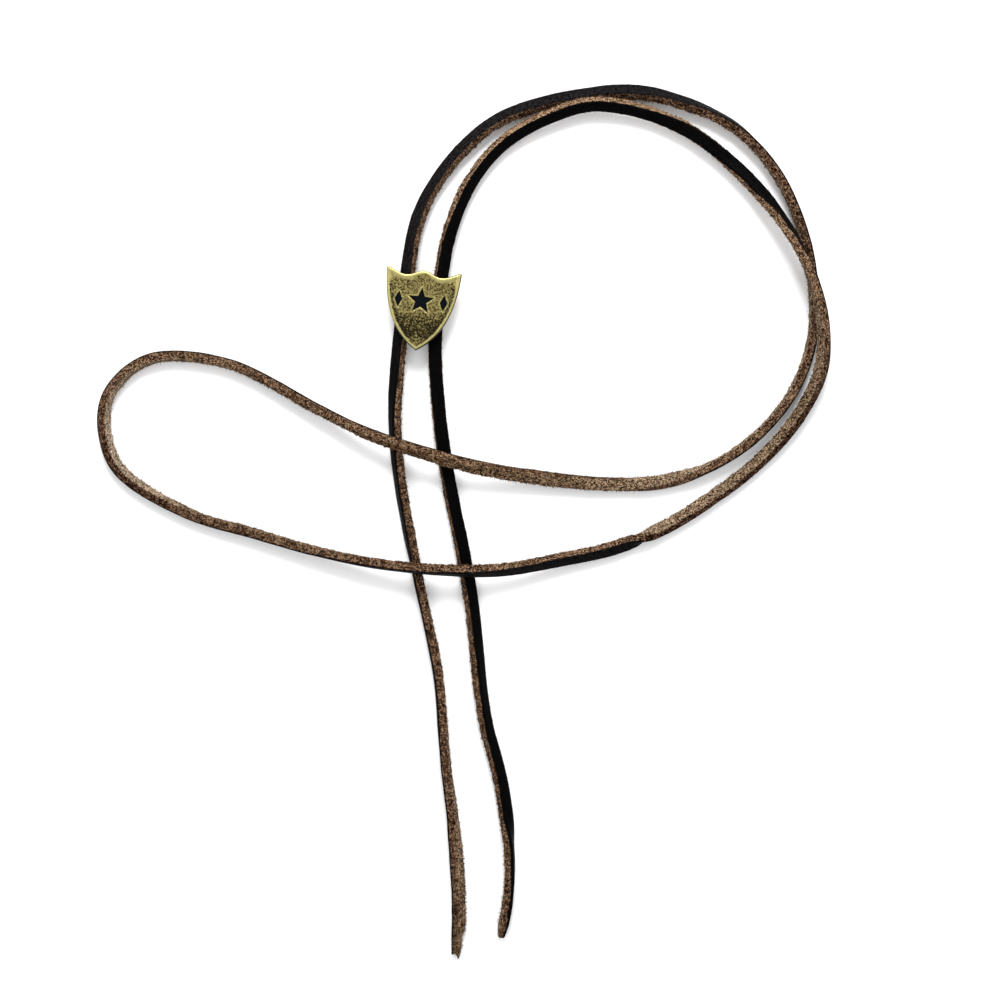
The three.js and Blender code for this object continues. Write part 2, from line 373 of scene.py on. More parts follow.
class SharedPatterns:
    """Patterns that more than one finish uses, each made once as a node group."""

    @staticmethod
    @cache
    def fibres() -> NodeTree:
        """Makes the pattern of matted fibres on cut and split leather.

        Returns:
            A group that takes a place in millimetres, lengthwise first, and puts out a tone
            and a height.
        """
        tree = Tree.named("matted_fibres", TreeKind.SHADER, {"Place": Socket.VECTOR},
                          {"Tone": Socket.NUMBER, "Height": Socket.NUMBER})
        place = tree.given["Place"]
        swirl = tree.noise(place, 0.55, detail=1.0, seed=3.0, colour=True)
        swirl = tree.times(tree.combine("SUBTRACT", swirl, MID_COLOUR), 1.2)
        bent = tree.combine("ADD", place, swirl)
        lengthwise = tree.combine("MULTIPLY", bent, (0.75, 1.3, 1.3))
        strands = tree.noise(lengthwise, 2.8, seed=5.0, rough=0.65)
        tufts = tree.noise(place, 4.2, detail=1.0, seed=8.0)
        patches = tree.noise(place, 0.5, seed=13.0)
        mixed = tree.lerp(0.5, strands, tufts)
        mixed = tree.lerp(0.10, mixed, patches)
        tree.add("NodeGroupOutput", {"Tone": tree.ramp(mixed, 0.40, 0.60), "Height": mixed})
        return tree.nodes

    @staticmethod
    @cache
    def cast_skin() -> NodeTree:
        """Makes the pattern of stain and pits on cast brass.

        Returns:
            A group that takes a place in millimetres and how much grime lies there, and puts
            out a stain mask and a height.
        """
        tree = Tree.named("cast_skin", TreeKind.SHADER,
                          {"Place": Socket.VECTOR, "Grime": Socket.NUMBER},
                          {"Stain": Socket.NUMBER, "Height": Socket.NUMBER})
        place, grime = tree.given["Place"], tree.given["Grime"]
        clouds = tree.noise(place, 0.32, seed=2.0, rough=0.55)
        specks = tree.noise(place, 2.3, detail=1.0, seed=4.0, rough=0.55)
        grit = tree.noise(place, 4.4, detail=1.0, seed=9.0, rough=0.6)
        mixed = tree.lerp(0.82, clouds, specks)
        mixed = tree.lerp(0.38, mixed, grit)
        stain = tree.ramp(tree.less(mixed, grime), 0.572, 0.405)
        tree.add("NodeGroupOutput", {"Stain": stain, "Height": tree.lerp(0.4, specks, grit)})
        return tree.nodes


def new_material(name: str) -> tuple[Material, Tree, Node]:
    """Makes a material with one Principled shader.

    Args:
        name: The material's name.

    Returns:
        The material, its tree and the shader node.
    """
    material = bpy.data.materials.new(name)
    material.use_nodes = True
    tree = Tree(material.node_tree)
    return material, tree, tree.nodes.nodes["Principled BSDF"]


@dataclass(frozen=True)
class RawLeather:
    """Colours of undyed leather, where it is cut and on its flesh side.

    Each comes deep and pale, mixed by the lace's shade, which holds painted shade as well as
    tone; gap and tip are how much darker the gaps between its fibres are, and how much lighter
    their tips, which also take on tip_light by tip_share: partly the fibres' own tone, partly
    painted shade in the gaps and a painted highlight on the tips. The hollows are wider gaps
    filled with painted shade, given for the cut sides and for the flesh side from its deepest to
    its palest. Depths are in millimetres.
    """

    thickness: float
    side_deep: Colour = (0.016, 0.0018, 0.0004, 1.0)
    side_pale: Colour = (0.155, 0.089, 0.050, 1.0)
    flesh_deep: Colour = (0.058, 0.0235, 0.0062, 1.0)
    flesh_pale: Colour = (0.262, 0.190, 0.131, 1.0)
    gap: Colour = (0.04, 0.02, 0.012, 1.0)
    tip: Colour = (2.9, 3.35, 3.7, 1.0)
    tip_light: Colour = (0.385, 0.275, 0.168, 1.0)
    tip_share: float = 0.32
    side_hollows: float = 0.90
    flesh_hollows: Span = (0.90, 0.10)
    hollow_edge: Span = (0.47, 0.37)
    flesh_edge: Span = (0.46, 0.06)
    flesh_wander: float = 0.7
    slow_change: Span = (0.9, 1.1)

    @cache
    def group(self) -> NodeTree:
        """Makes the colours as a group, once.

        Returns:
            A group that takes a place in millimetres, a tone and the lace's shade there, and
            puts out a colour.
        """
        tree = Tree.named("raw_leather", TreeKind.SHADER,
                          {"Place": Socket.VECTOR, "Tone": Socket.NUMBER, "Shade": Socket.VECTOR},
                          {"Colour": Socket.COLOUR})
        place, tone = tree.given["Place"], tree.given["Tone"]
        side_shade, flesh_shade, _ = tree.split(tree.given["Shade"])
        wander = tree.swing(place, 0.9, detail=3.0, seed=22.0, rough=0.6)
        rise = tree.plus(tree.split(place)[1], self.thickness / 2 / MM)
        rise = tree.plus(rise, tree.product(wander, self.flesh_wander))
        fleshy = tree.ramp(rise, *self.flesh_edge)
        side = tree.mix(side_shade, self.side_deep, self.side_pale)
        flesh = tree.mix(flesh_shade, self.flesh_deep, self.flesh_pale)
        base = tree.mix(fleshy, side, flesh)
        # Darker gaps and lighter tips: partly the fibres' own tone, partly painted shade and
        # painted highlight.
        dark = tree.combine("MULTIPLY", base, self.gap[:3])
        light = tree.combine("MULTIPLY", base, self.tip[:3])
        light = tree.mix(self.tip_share, light, self.tip_light)
        colour = tree.mix(tree.ramp(tone, 0.0, 0.5), dark, base)
        colour = tree.mix(tree.ramp(tone, 0.5, 1.0), colour, light)
        # Hollows: wide pits of painted shade, deepest on the cut sides and on the darker, shaded
        # stretches of flesh.
        lengthwise = tree.combine("MULTIPLY", place, (0.85, 1.1, 1.1))
        hollows = tree.noise(lengthwise, 2.1, detail=1.0, seed=37.0)
        on_flesh = tree.ramp(flesh_shade, 0.2, 0.8, *self.flesh_hollows)
        amount = tree.lerp(fleshy, self.side_hollows, on_flesh)
        hollows = tree.product(tree.ramp(hollows, *self.hollow_edge), amount)
        colour = tree.mix(hollows, colour, dark)
        slow = tree.ramp(tree.noise(place, 0.07, seed=31.0), 0.3, 0.7, *self.slow_change)
        tree.add("NodeGroupOutput", {"Colour": tree.times(colour, slow)})
        return tree.nodes


@dataclass(frozen=True)
class LaceLeather:
    """Square-cut cowhide: a black grain face, brown raw sides and a paler flesh face.

    The dye soaks in dye_depth deep, and deeper over the last end_reach of each end; these and
    how far its edge wanders are in millimetres.
    """

    raw: RawLeather
    length: float
    grain: Colour = (0.0006, 0.0005, 0.0006, 1.0)
    # The grey of the grain where it is partly wear and partly a painted sheen facing the light.
    grain_sheen_and_wear: Colour = (0.018, 0.0155, 0.0160, 1.0)
    dye_depth: float = 0.36
    end_dye_depth: float = 0.80
    end_reach: Span = (50.0, 12.0)
    dye_wander: float = 0.55
    dye_edge: Span = (0.12, -0.08)
    sheen_and_wear_patches: Span = (0.38, 0.64)
    grain_gloss: Span = (0.40, 0.56)
    raw_roughness: float = 0.92
    wrinkle_height: float = 0.18

    def make(self) -> Material:
        """Builds the material; it reads the lace's own lace_place and lace_shade attributes.

        Returns:
            The leather.
        """
        material, tree, shader = new_material("lace_leather")
        place = tree.times(tree.painted("lace_place"), 1 / MM)
        lengthwise, grainward, _ = tree.split(place)
        tone, height = tree.group(SharedPatterns.fibres(), Place=place).outputs
        shade = tree.painted("lace_shade")
        raw = tree.group(self.raw.group(), Place=place, Tone=tone, Shade=shade)

        wander = tree.swing(place, 0.9, detail=3.0, seed=21.0, rough=0.6)
        depth = tree.less(self.raw.thickness / 2 / MM, grainward)
        half = self.length / 2 / MM
        from_middle = tree.sum("ABSOLUTE", tree.less(lengthwise, half))
        starts, full = (half - reach for reach in self.end_reach)
        reach = tree.ramp(from_middle, starts, full, self.dye_depth, self.end_dye_depth)
        ragged = tree.plus(depth, tree.product(wander, self.dye_wander))
        dyed = tree.ramp(tree.less(ragged, reach), *self.dye_edge)
        stretched = tree.combine("MULTIPLY", place, (1.6, 1.0, 1.0))
        wrinkle = tree.noise(stretched, 1.9, detail=4.0, seed=41.0, rough=0.6)
        # Grey patches on the black grain: partly wear, partly a painted sheen where the grain faces
        # the light.
        patches = tree.noise(place, 1.7, detail=3.0, seed=47.0, rough=0.65)
        sheen_and_wear = tree.product(tree.ramp(patches, *self.sheen_and_wear_patches), tree.split(shade)[2])
        black = tree.mix(sheen_and_wear, self.grain, self.grain_sheen_and_wear)
        tree.plug(shader, "Base Color", tree.mix(dyed, raw.outputs[0], black))
        gloss = tree.ramp(wrinkle, 0.3, 0.7, *self.grain_gloss)
        tree.plug(shader, "Roughness", tree.lerp(dyed, self.raw_roughness, gloss))
        tree.plug(shader, "Specular IOR Level", 0.012)
        relief = tree.lerp(dyed, height, tree.product(wrinkle, self.wrinkle_height))
        tree.bump(shader, relief, 0.9, 0.22)
        return material


@dataclass(frozen=True)
class LooseFibre:
    """Hair-fine fibres of raw leather, each with a tone of its own."""

    raw: RawLeather
    own_share: float = 0.65
    roughness: Span = (0.95, 0.7)

    def make(self) -> Material:
        """Builds the material; it reads fibre_tone and what the strand says where each grows.

        Returns:
            The fibre material.
        """
        material, tree, shader = new_material("leather_fibre")
        place = tree.times(tree.painted("lace_place"), 1 / MM)
        own = tree.painted("fibre_tone", "Fac")
        tone = tree.group(SharedPatterns.fibres(), Place=place).outputs["Tone"]
        raw = tree.group(self.raw.group(), Place=place, Tone=tree.lerp(self.own_share, tone, own),
                         Shade=tree.painted("lace_shade"))
        tree.plug(shader, "Base Color", raw.outputs[0])
        tree.plug(shader, "Roughness", tree.ramp(own, 0.0, 1.0, *self.roughness))
        tree.plug(shader, "Specular IOR Level", 0.02)
        return material


@dataclass(frozen=True)
class AntiqueBrass:
    """Cast brass, dark in its hollows, polished bright by wear along the rim, with black enamel, a
    painted highlight along the top and painted shade on the lower right edge.

    Places and widths are in millimetres. A pair says where something starts and where it is
    full; rim and cut ones are distances inwards from the shield's edge and from a cut's edge.
    """

    bright: Colour = (0.440, 0.388, 0.155, 1.0)
    field: Colour = (0.240, 0.196, 0.072, 1.0)
    stained: Colour = (0.0125, 0.0098, 0.0044, 1.0)
    enamel: Colour = (0.0010, 0.0020, 0.0030, 1.0)
    rim_inner: float = 0.9
    rim_outer: float = 0.5
    rim_wander: float = 0.8
    # How much wider the bright rim is along the top: a painted highlight.
    top_highlight: float = 1.1
    top_edge: Span = (5.5, 8.0)
    scoop: Span = (1.0, 3.5)
    rim_grime: float = 0.060
    rim_grime_at: Span = (2.2, 1.0)
    low_grime: float = 0.080
    low_grime_at: Span = (0.2, -3.5)
    tip_clear: Span = (-8.2, -6.0)
    enamel_edge: Span = (0.02, 0.08)
    lip: Span = (-0.55, -0.12)
    lip_rubbed: float = 0.55
    # outline and edge_shade_*: a painted shade along the plate's edge, strongest at the lower
    # right.
    outline: Span = (0.32, 0.14)
    edge_shade_slant: Span = (0.8, 0.5)
    edge_shade_at: Span = (-5.0, 1.0)
    edge_shade_dark: Span = (0.5, 0.95)
    field_roughness: Span = (0.42, 0.62)
    bare_roughness: float = 0.4
    enamel_roughness: float = 0.38
    stained_metallic: float = 0.8

    def make(self) -> Material:
        """Builds the material; it reads Object coordinates and the shield's own attributes.

        Returns:
            The antique brass.
        """
        material, tree, shader = new_material("antique_brass")
        place = tree.times(tree.add("ShaderNodeTexCoord").outputs["Object"], 1 / MM)
        rim, cut = tree.painted("rim_distance", "Fac"), tree.painted("cut_distance", "Fac")
        across, along, _ = tree.split(place)
        # Along the top the bright rim widens into a painted highlight, where light falls on the
        # rounded edge, and no patina is laid beside it there.
        at_top = tree.ramp(along, *self.top_edge)
        beside_rim = tree.ramp(rim, *self.rim_grime_at, 0.0, self.rim_grime)
        beside_rim = tree.product(beside_rim, tree.less(1.0, at_top))
        low_down = tree.ramp(along, *self.low_grime_at, 0.0, self.low_grime)
        low_down = tree.product(low_down, tree.ramp(along, *self.tip_clear))
        stain, height = tree.group(SharedPatterns.cast_skin(), Place=place,
                                   Grime=tree.plus(beside_rim, low_down)).outputs

        uneven = tree.product(tree.swing(place, 0.8, detail=3.0, seed=6.0), self.rim_wander)
        in_scoop = tree.ramp(tree.sum("ABSOLUTE", across), *self.scoop, 0.1, 1.0)
        in_scoop = tree.product(at_top, in_scoop)
        inner = tree.plus(self.rim_inner, tree.product(in_scoop, self.top_highlight))
        # The bright band: wear all round, plus the painted highlight along the top.
        wear_and_highlight = tree.ramp(tree.plus(rim, uneven), inner, self.rim_outer)
        lip = tree.ramp(cut, *self.lip, 0.0, self.lip_rubbed)
        speckled = tree.product(lip, tree.less(1.0, tree.product(stain, 0.5)))
        wear_and_highlight = tree.sum("MAXIMUM", wear_and_highlight, speckled)
        metal = tree.mix(stain, self.field, self.stained)
        metal = tree.mix(wear_and_highlight, metal, self.bright)
        # Dark band along the edge, half strength all round and strongest at the lower right:
        # painted shade in the stained colour, where the side wall falls into shade.
        right, down = self.edge_shade_slant
        lower_right = tree.less(tree.product(across, right), tree.product(along, down))
        outline = tree.product(tree.ramp(rim, *self.outline),
                               tree.ramp(lower_right, *self.edge_shade_at, *self.edge_shade_dark))
        metal = tree.mix(outline, metal, self.stained)
        fill = tree.ramp(cut, *self.enamel_edge)
        tree.plug(shader, "Base Color", tree.mix(fill, metal, self.enamel))
        rough = tree.ramp(stain, 0.0, 1.0, *self.field_roughness)
        rough = tree.lerp(wear_and_highlight, rough, self.bare_roughness)
        tree.plug(shader, "Roughness", tree.lerp(fill, rough, self.enamel_roughness))
        metallic = tree.ramp(stain, 0.0, 1.0, 1.0, self.stained_metallic)
        metallic = tree.lerp(wear_and_highlight, metallic, 1.0)
        tree.plug(shader, "Specular IOR Level", 0.05)
        tree.plug(shader, "Metallic", tree.lerp(fill, metallic, 0.0))
        tree.bump(shader, height, 0.6, 0.05)
        return material


@dataclass(frozen=True)
class PlainBrass:
    """Unpolished cast brass, as on the back of a buckle."""

    clean: Colour = (0.45, 0.36, 0.15, 1.0)
    stained: Colour = (0.12, 0.09, 0.04, 1.0)
    roughness: Span = (0.42, 0.6)

    def make(self) -> Material:
        """Builds the material; it reads Object coordinates.

        Returns:
            The plain brass.
        """
        material, tree, shader = new_material("plain_brass")
        place = tree.times(tree.add("ShaderNodeTexCoord").outputs["Object"], 1 / MM)
        stain, height = tree.group(SharedPatterns.cast_skin(), Place=place).outputs
        tree.plug(shader, "Base Color", tree.mix(stain, self.clean, self.stained))
        tree.plug(shader, "Roughness", tree.ramp(stain, 0.0, 1.0, *self.roughness))
        tree.plug(shader, "Metallic", 1.0)
        tree.bump(shader, height, 0.5, 0.06)
        return material


@dataclass(frozen=True)
class LaceRoute:
    """Where the lace lies, from the left tail's free end to the right one's.

    points holds x, y and the height of the lace's underside. leans holds, at a distance along
    the lace, how many degrees the grain face leans from straight up towards the left. shades
    holds, at a distance along the lace, how light the cut sides and the flesh side are and how
    much wear and painted sheen lie on the grain, each from 0 to 1. The lightness takes in the
    leather's own tone and painted shade, where a side faces away from the light or lies in the
    shadow of a crossing strand.
    """

    width: float
    thickness: float
    corner: float
    points: tuple[tuple[float, float, float], ...] = (
        (0.0275, -0.1579, 0.0), (0.0256, -0.1422, 0.0), (0.0226, -0.1264, 0.0),
        (0.0183, -0.1085, 0.0), (0.0145, -0.0894, 0.0), (0.0066, -0.0652, 0.0),
        (-0.0005, -0.042, 0.0), (-0.0033, -0.0279, 0.0003), (-0.0042, -0.0145, 0.0006),
        (-0.00427, 0.003, 0.00095), (-0.00422, 0.0125, 0.00095), (-0.0035, 0.0215, 0.0005),
        (-0.001, 0.0299, 0.0001), (0.006, 0.0417, 0.0), (0.0163, 0.0512, 0.0),
        (0.044, 0.0602, 0.0), (0.059, 0.0591, 0.0), (0.0729, 0.0542, 0.0),
        (0.0841, 0.0444, 0.0), (0.0919, 0.0315, 0.0), (0.0962, 0.0184, 0.0),
        (0.0977, 0.0052, 0.0), (0.0947, -0.0085, 0.0), (0.0873, -0.0205, 0.0),
        (0.0768, -0.0297, 0.0), (0.0638, -0.0354, 0.0), (0.0498, -0.0374, 0.0003),
        (0.035, -0.0377, 0.001), (0.0188, -0.037, 0.0031), (0.003, -0.0345, 0.0047),
        (-0.0101, -0.0315, 0.0034), (-0.0224, -0.0271, 0.0016), (-0.0458, -0.0183, 0.0002),
        (-0.064, -0.0187, 0.0), (-0.0714, -0.0237, 0.0), (-0.0753, -0.031, 0.0),
        (-0.0745, -0.0397, 0.0), (-0.0698, -0.0478, 0.0), (-0.0517, -0.0565, 0.0),
        (-0.0356, -0.0594, 0.0005), (-0.0185, -0.0622, 0.0015), (-0.003, -0.0634, 0.0033),
        (0.0123, -0.0631, 0.0046), (0.0274, -0.0614, 0.0032), (0.0419, -0.0572, 0.0014),
        (0.055, -0.0527, 0.0005), (0.0669, -0.0461, 0.0), (0.0776, -0.0375, 0.0),
        (0.0875, -0.0279, 0.0), (0.0962, -0.0152, 0.0009), (0.1003, -0.0015, 0.0024),
        (0.0959, 0.0173, 0.0044), (0.0832, 0.0359, 0.0022), (0.0607, 0.0523, 0.001),
        (0.0382, 0.056, 0.0016), (0.026, 0.0514, 0.0014), (0.0153, 0.0435, 0.0007),
        (0.0084, 0.0326, 0.0007), (0.0049, 0.0199, 0.00085), (0.0041, 0.005, 0.0009),
        (0.0045, -0.0075, 0.00085), (0.0076, -0.0255, 0.0004), (0.0123, -0.0432, 0.0),
        (0.0169, -0.0573, 0.0), (0.0209, -0.0711, 0.0), (0.0271, -0.098, 0.0),
        (0.0333, -0.1148, 0.0), (0.0372, -0.1315, 0.0), (0.0382, -0.1422, 0.0),
        (0.0375, -0.1522, 0.0),
    )
    leans: tuple[tuple[float, float], ...] = (
        (0.0, 130), (0.023, 127), (0.039, 98), (0.059, 83), (0.091, 84), (0.11, 70),
        (0.132, 62), (0.15, 39), (0.165, 33), (0.186, 37), (0.21, 41), (0.238, 32),
        (0.252, 30), (0.263, 44), (0.274, 63), (0.291, 83), (0.38, 91), (0.392, 150),
        (0.404, 186), (0.428, 210), (0.457, 246), (0.476, 261), (0.51, 268), (0.535, 262),
        (0.563, 251), (0.586, 264), (0.637, 280), (0.673, 312), (0.692, 316), (0.701, 225),
        (0.718, 219), (0.748, 233), (0.768, 249), (0.782, 270), (0.797, 300), (0.811, 344),
        (0.826, 378), (0.846, 411), (0.897, 408), (0.914, 384), (0.937, 364), (0.959, 372),
        (0.975, 388), (0.986, 388), (0.998, 402), (1.023, 415), (1.036, 404), (1.052, 402),
        (1.062, 442), (1.084, 456),
    )
    # Rows: distance, side and flesh lightness (own tone plus painted shade), grain wear plus
    # painted sheen.
    shades: tuple[tuple[float, float, float, float], ...] = (
        (0.0, 0.2, 0.12, 0.1), (0.012, 0.2, 0.22, 0.1), (0.03, 0.20, 0.32, 0.1),
        (0.1, 0.26, 0.22, 0.1), (0.14, 0.38, 0.2, 0.1), (0.18, 0.36, 0.3, 0.7),
        (0.22, 0.26, 0.3, 0.8),
        (0.27, 0.20, 0.3, 0.7), (0.31, 0.22, 0.3, 0.4), (0.34, 0.24, 0.35, 0.3),
        (0.36, 0.32, 0.45, 0.2), (0.385, 0.4, 0.42, 0.2), (0.41, 0.12, 0.25, 0.2),
        (0.46, 0.45, 0.08, 0.2), (0.5, 0.44, 0.26, 0.2), (0.53, 0.42, 0.42, 0.2),
        (0.555, 0.08, 0.85, 0.2), (0.57, 0.05, 0.68, 0.2), (0.585, 0.25, 0.2, 0.3),
        (0.61, 0.40, 0.2, 0.4), (0.63, 0.30, 0.2, 0.4), (0.65, 0.30, 0.2, 0.4),
        (0.665, 0.55, 0.3, 0.4), (0.69, 0.6, 0.4, 0.4), (0.698, 0.0, 0.42, 0.2),
        (0.75, 0.0, 0.25, 0.2), (0.775, 0.55, 0.4, 0.2), (0.79, 0.5, 0.3, 0.2),
        (0.83, 1.0, 0.3, 0.1), (0.88, 1.0, 0.3, 0.1), (0.92, 0.4, 0.3, 0.1),
        (0.97, 0.27, 0.22, 0.05), (1.084, 0.3, 0.28, 0.05),
    )
    fine_steps: int = 160

    def _smooth(self) -> np.ndarray:
        """Runs a centripetal Catmull-Rom curve through the points.

        Returns:
            Close-set places along it.
        """
        p = np.array(self.points)
        p = np.vstack([2 * p[0] - p[1], p, 2 * p[-1] - p[-2]])
        steps = np.sqrt(np.linalg.norm(np.diff(p, axis=0), axis=1))[:, None]
        u = np.linspace(0, 1, self.fine_steps, endpoint=False)[:, None]
        places = []
        for k in range(1, len(p) - 2):
            before, here, after = steps[k - 1], steps[k], steps[k + 1]
            ahead = (p[k + 1] - p[k]) / here
            last_two = (p[k + 1] - p[k - 1]) / (before + here)
            next_two = (p[k + 2] - p[k]) / (here + after)
            leave = here * ((p[k] - p[k - 1]) / before - last_two + ahead)
            arrive = here * (ahead - next_two + (p[k + 2] - p[k + 1]) / after)
            rise = p[k + 1] - p[k]
            places.append(p[k] + u * leave + u**2 * (3 * rise - 2 * leave - arrive)
                          + u**3 * (leave + arrive - 2 * rise))
        return np.vstack(places + [p[-2:-1]])

    def lean_at(self, distance: np.ndarray) -> np.ndarray:
        """Gives the lean along the lace, eased from row to row.

        Args:
            distance: Distances along the lace.

        Returns:
            The leans in radians.
        """
        at, lean = np.array(self.leans).T
        row = np.clip(np.searchsorted(at, distance), 1, len(at) - 1)
        share = np.clip((distance - at[row - 1]) / (at[row] - at[row - 1]), 0, 1)
        share = share * share * (3 - 2 * share)
        return np.radians(lean[row - 1] + share * (lean[row] - lean[row - 1]))

    def shade_at(self, distance: np.ndarray) -> np.ndarray:
        """Gives the cut sides' lightness and the flesh side's, both with painted shade, and the
        grain's wear and painted sheen along the lace.
        """
        at, *shade = np.array(self.shades).T
        return np.stack([np.interp(distance, at, part) for part in shade], axis=1)

    def middle_height(self, lean: np.ndarray) -> np.ndarray:
        """Gives the height of the section's middle over its lowest corner.

        Args:
            lean: The leans in radians.

        Returns:
            A height for each lean.
        """
        g, s, c = self.thickness / 2, self.width / 2, self.corner
        cos, sin = np.abs(np.cos(lean)), np.abs(np.sin(lean))
        return np.maximum(g * cos + (s - c) * sin, (g - c) * cos + s * sin)

    def stations(self, count: int) -> tuple[np.ndarray, np.ndarray, float]:
        """Places the lace's sections at equal distances.

        Args:
            count: How many there are.

        Returns:
            The middles of the sections, their leans in radians, and the lace's length.
        """
        fine = self._smooth()
        run = np.concatenate([[0.0], np.cumsum(np.linalg.norm(np.diff(fine, axis=0), axis=1))])
        at = np.linspace(0, run[-1], count)
        middles = np.stack([np.interp(at, run, fine[:, k]) for k in range(3)], axis=1)
        lean = self.lean_at(at)
        middles[:, 2] = np.maximum(middles[:, 2], 0) + self.middle_height(lean)
        return middles, lean, float(run[-1])


@dataclass
class Lace:
    """The one long strand of square-cut leather.

    Sizes are in metres. swell, ragged and teeth are how far its faces wander, from the slowest
    to the finest; torn and spur are how far its two ends do. A per_mm is how many waves there
    are to a millimetre. Each end narrows over its taper to its share of the full section.
    """

    width: float = 0.0032
    thickness: float = 0.0024
    cad_corner: float = 0.00035
    corner: float = 0.00042
    section_points: int = 24
    station_count: int = 4080
    swell: float = 0.00016
    swell_per_mm: float = 0.11
    ragged: float = 0.00030
    ragged_per_mm: float = 0.62
    teeth: float = 0.00026
    teeth_per_mm: float = 1.4
    bare_below: Span = (0.05 * MM, 0.5 * MM)
    grain_ragged: float = 0.10
    torn: float = 0.0007
    torn_per_mm: float = 0.9
    torn_reach: float = 3.0 * MM
    spur: float = 0.0011
    left_taper: float = 0.0074
    left_share: float = 0.66
    left_shift: float = 0.6
    right_taper: float = 0.0035
    right_share: float = 0.62

    def __post_init__(self) -> None:
        """Lays out the route and makes the leather."""
        self.route = LaceRoute(self.width, self.thickness, self.cad_corner)
        self.middles, self.lean, self.length = self.route.stations(self.station_count)
        self.raw = RawLeather(self.thickness)
        self.leather = LaceLeather(self.raw, self.length).make()

    def _curve(self) -> Object:
        """Draws the middle line; tilt turns each section and radius thins the two ends.

        Returns:
            The line.
        """
        at = np.linspace(0, self.length, len(self.middles))
        left = np.clip(at / self.left_taper, 0, 1) ** 2
        left = self.left_share + (1 - self.left_share) * left
        right = np.clip((self.length - at) / self.right_taper, 0, 1) ** 0.6
        right = self.right_share + (1 - self.right_share) * right
        line_of_middles = self.middles.copy()
        line_of_middles[:, 0] -= (1 - left) * self.left_shift * self.width
        line_of_middles[:, 2] *= np.minimum(left, right)
        data = bpy.data.curves.new("lace_line", "CURVE")
        data.dimensions = "3D"
        data.twist_mode = "Z_UP"
        line = data.splines.new("POLY")
        line.points.add(len(self.middles) - 1)
        line.points.foreach_set("co", np.c_[line_of_middles, np.ones(len(at))].ravel())
        line.points.foreach_set("tilt", -self.lean)
        line.points.foreach_set("radius", np.minimum(left, right))
        return placed("lace_line", data)

    def _sweep(self, sizes: Wires) -> Tree:
        """Wires the tree that sweeps the section along the line and roughens its raw faces.

        Args:
            sizes: The tree's inputs.

        Returns:
            The tree.
        """
        tree = Tree.shaping("lace_sweep", sizes)
        given = tree.given
        line = tree.captured(given["Geometry"], {
            "Along": ("FLOAT", tree.add("GeometryNodeSplineParameter").outputs["Length"]),
            "Run": ("VECTOR", tree.out("GeometryNodeInputTangent")),
            "Middle": ("VECTOR", tree.here())})
        outline = tree.out("GeometryNodeCurvePrimitiveQuadrilateral",
                           {"Width": given["Width"], "Height": given["Thickness"]})
        outline = tree.out("GeometryNodeFilletCurve",
                           {"Curve": outline, "Count": 4, "Radius": given["Corner"]}, mode="POLY")
        outline = tree.out("GeometryNodeResampleCurve",
                           {"Curve": outline, "Count": given["Section Points"]})
        section = tree.captured(outline, {"Section": ("VECTOR", tree.here())})
        swept = tree.out("GeometryNodeCurveToMesh", {
            "Curve": line["Geometry"], "Profile Curve": section["Geometry"],
            "Scale": tree.out("GeometryNodeInputRadius"), "Fill Caps": True})

        along, run = line["Along"], line["Run"]
        across, down, _ = tree.split(section["Section"])
        grainward = tree.product(down, -1.0)
        place = tree.joined(along, grainward, across)
        in_mm = tree.times(place, 1 / MM)
        half = tree.product(given["Thickness"], 0.5)
        depth = tree.less(half, grainward)
        # A pattern swings by less than its half, so these factors bring it to its full size.
        swell = tree.swing(in_mm, self.swell_per_mm, seed=1.0)
        swell = tree.product(swell, tree.product(given["Swell"], 2.0))
        rag = tree.swing(in_mm, self.ragged_per_mm, detail=4.0, seed=2.0, rough=0.72)
        rag = tree.product(rag, given["Ragged"], 2.0)
        raw = tree.ramp(depth, *self.bare_below, self.grain_ragged, 1.0)
        out = tree.plus(swell, tree.product(rag, raw))
        teeth = tree.swing(in_mm, self.teeth_per_mm, detail=1.0, seed=3.0)
        teeth = tree.product(teeth, given["Teeth"], 3.0)
        fleshward = tree.ramp(depth, half, given["Thickness"])
        out = tree.plus(out, tree.product(teeth, fleshward))
        offset = tree.times(tree.out("GeometryNodeInputNormal"), out)

        # Outward points off the nearer end: -1 along the lace at the left end, 1 at the right.
        outward = tree.ramp(along, 0.4, 0.6, -1.0, 1.0)
        to_end = tree.sum("MINIMUM", along, tree.less(given["Length"], along))
        near = tree.ramp(to_end, 0.0, self.torn_reach, 1.0, 0.0)
        face = tree.joined(outward, tree.product(grainward, 1 / MM), tree.product(across, 1 / MM))
        tear = tree.swing(face, self.torn_per_mm, detail=3.0, seed=4.0, rough=0.7)
        tear = tree.product(tear, 4.0, given["Torn"])
        left_flesh_side = (-1.0, -0.5 * self.thickness / MM, 0.0)
        far = tree.measure("DISTANCE", face, left_flesh_side)
        tear = tree.plus(tear, tree.ramp(far, 0.2, 1.4, given["Spur"], 0.0))
        tear = tree.product(tear, near, outward)
        offset = tree.combine("ADD", offset, tree.times(run, tear))

        shaped = tree.out("GeometryNodeSetPosition", {"Geometry": swept, "Offset": offset})
        away = tree.combine("NORMALIZE", tree.combine("SUBTRACT", tree.here(), line["Middle"]))
        for name, value in (("lace_place", place), ("lace_run", run), ("lace_outward", away)):
            shaped = tree.stored(shaped, name, value, "FLOAT_VECTOR")
        return tree.finish(tree.out("GeometryNodeSetShadeSmooth", {"Geometry": shaped}), "Leather")

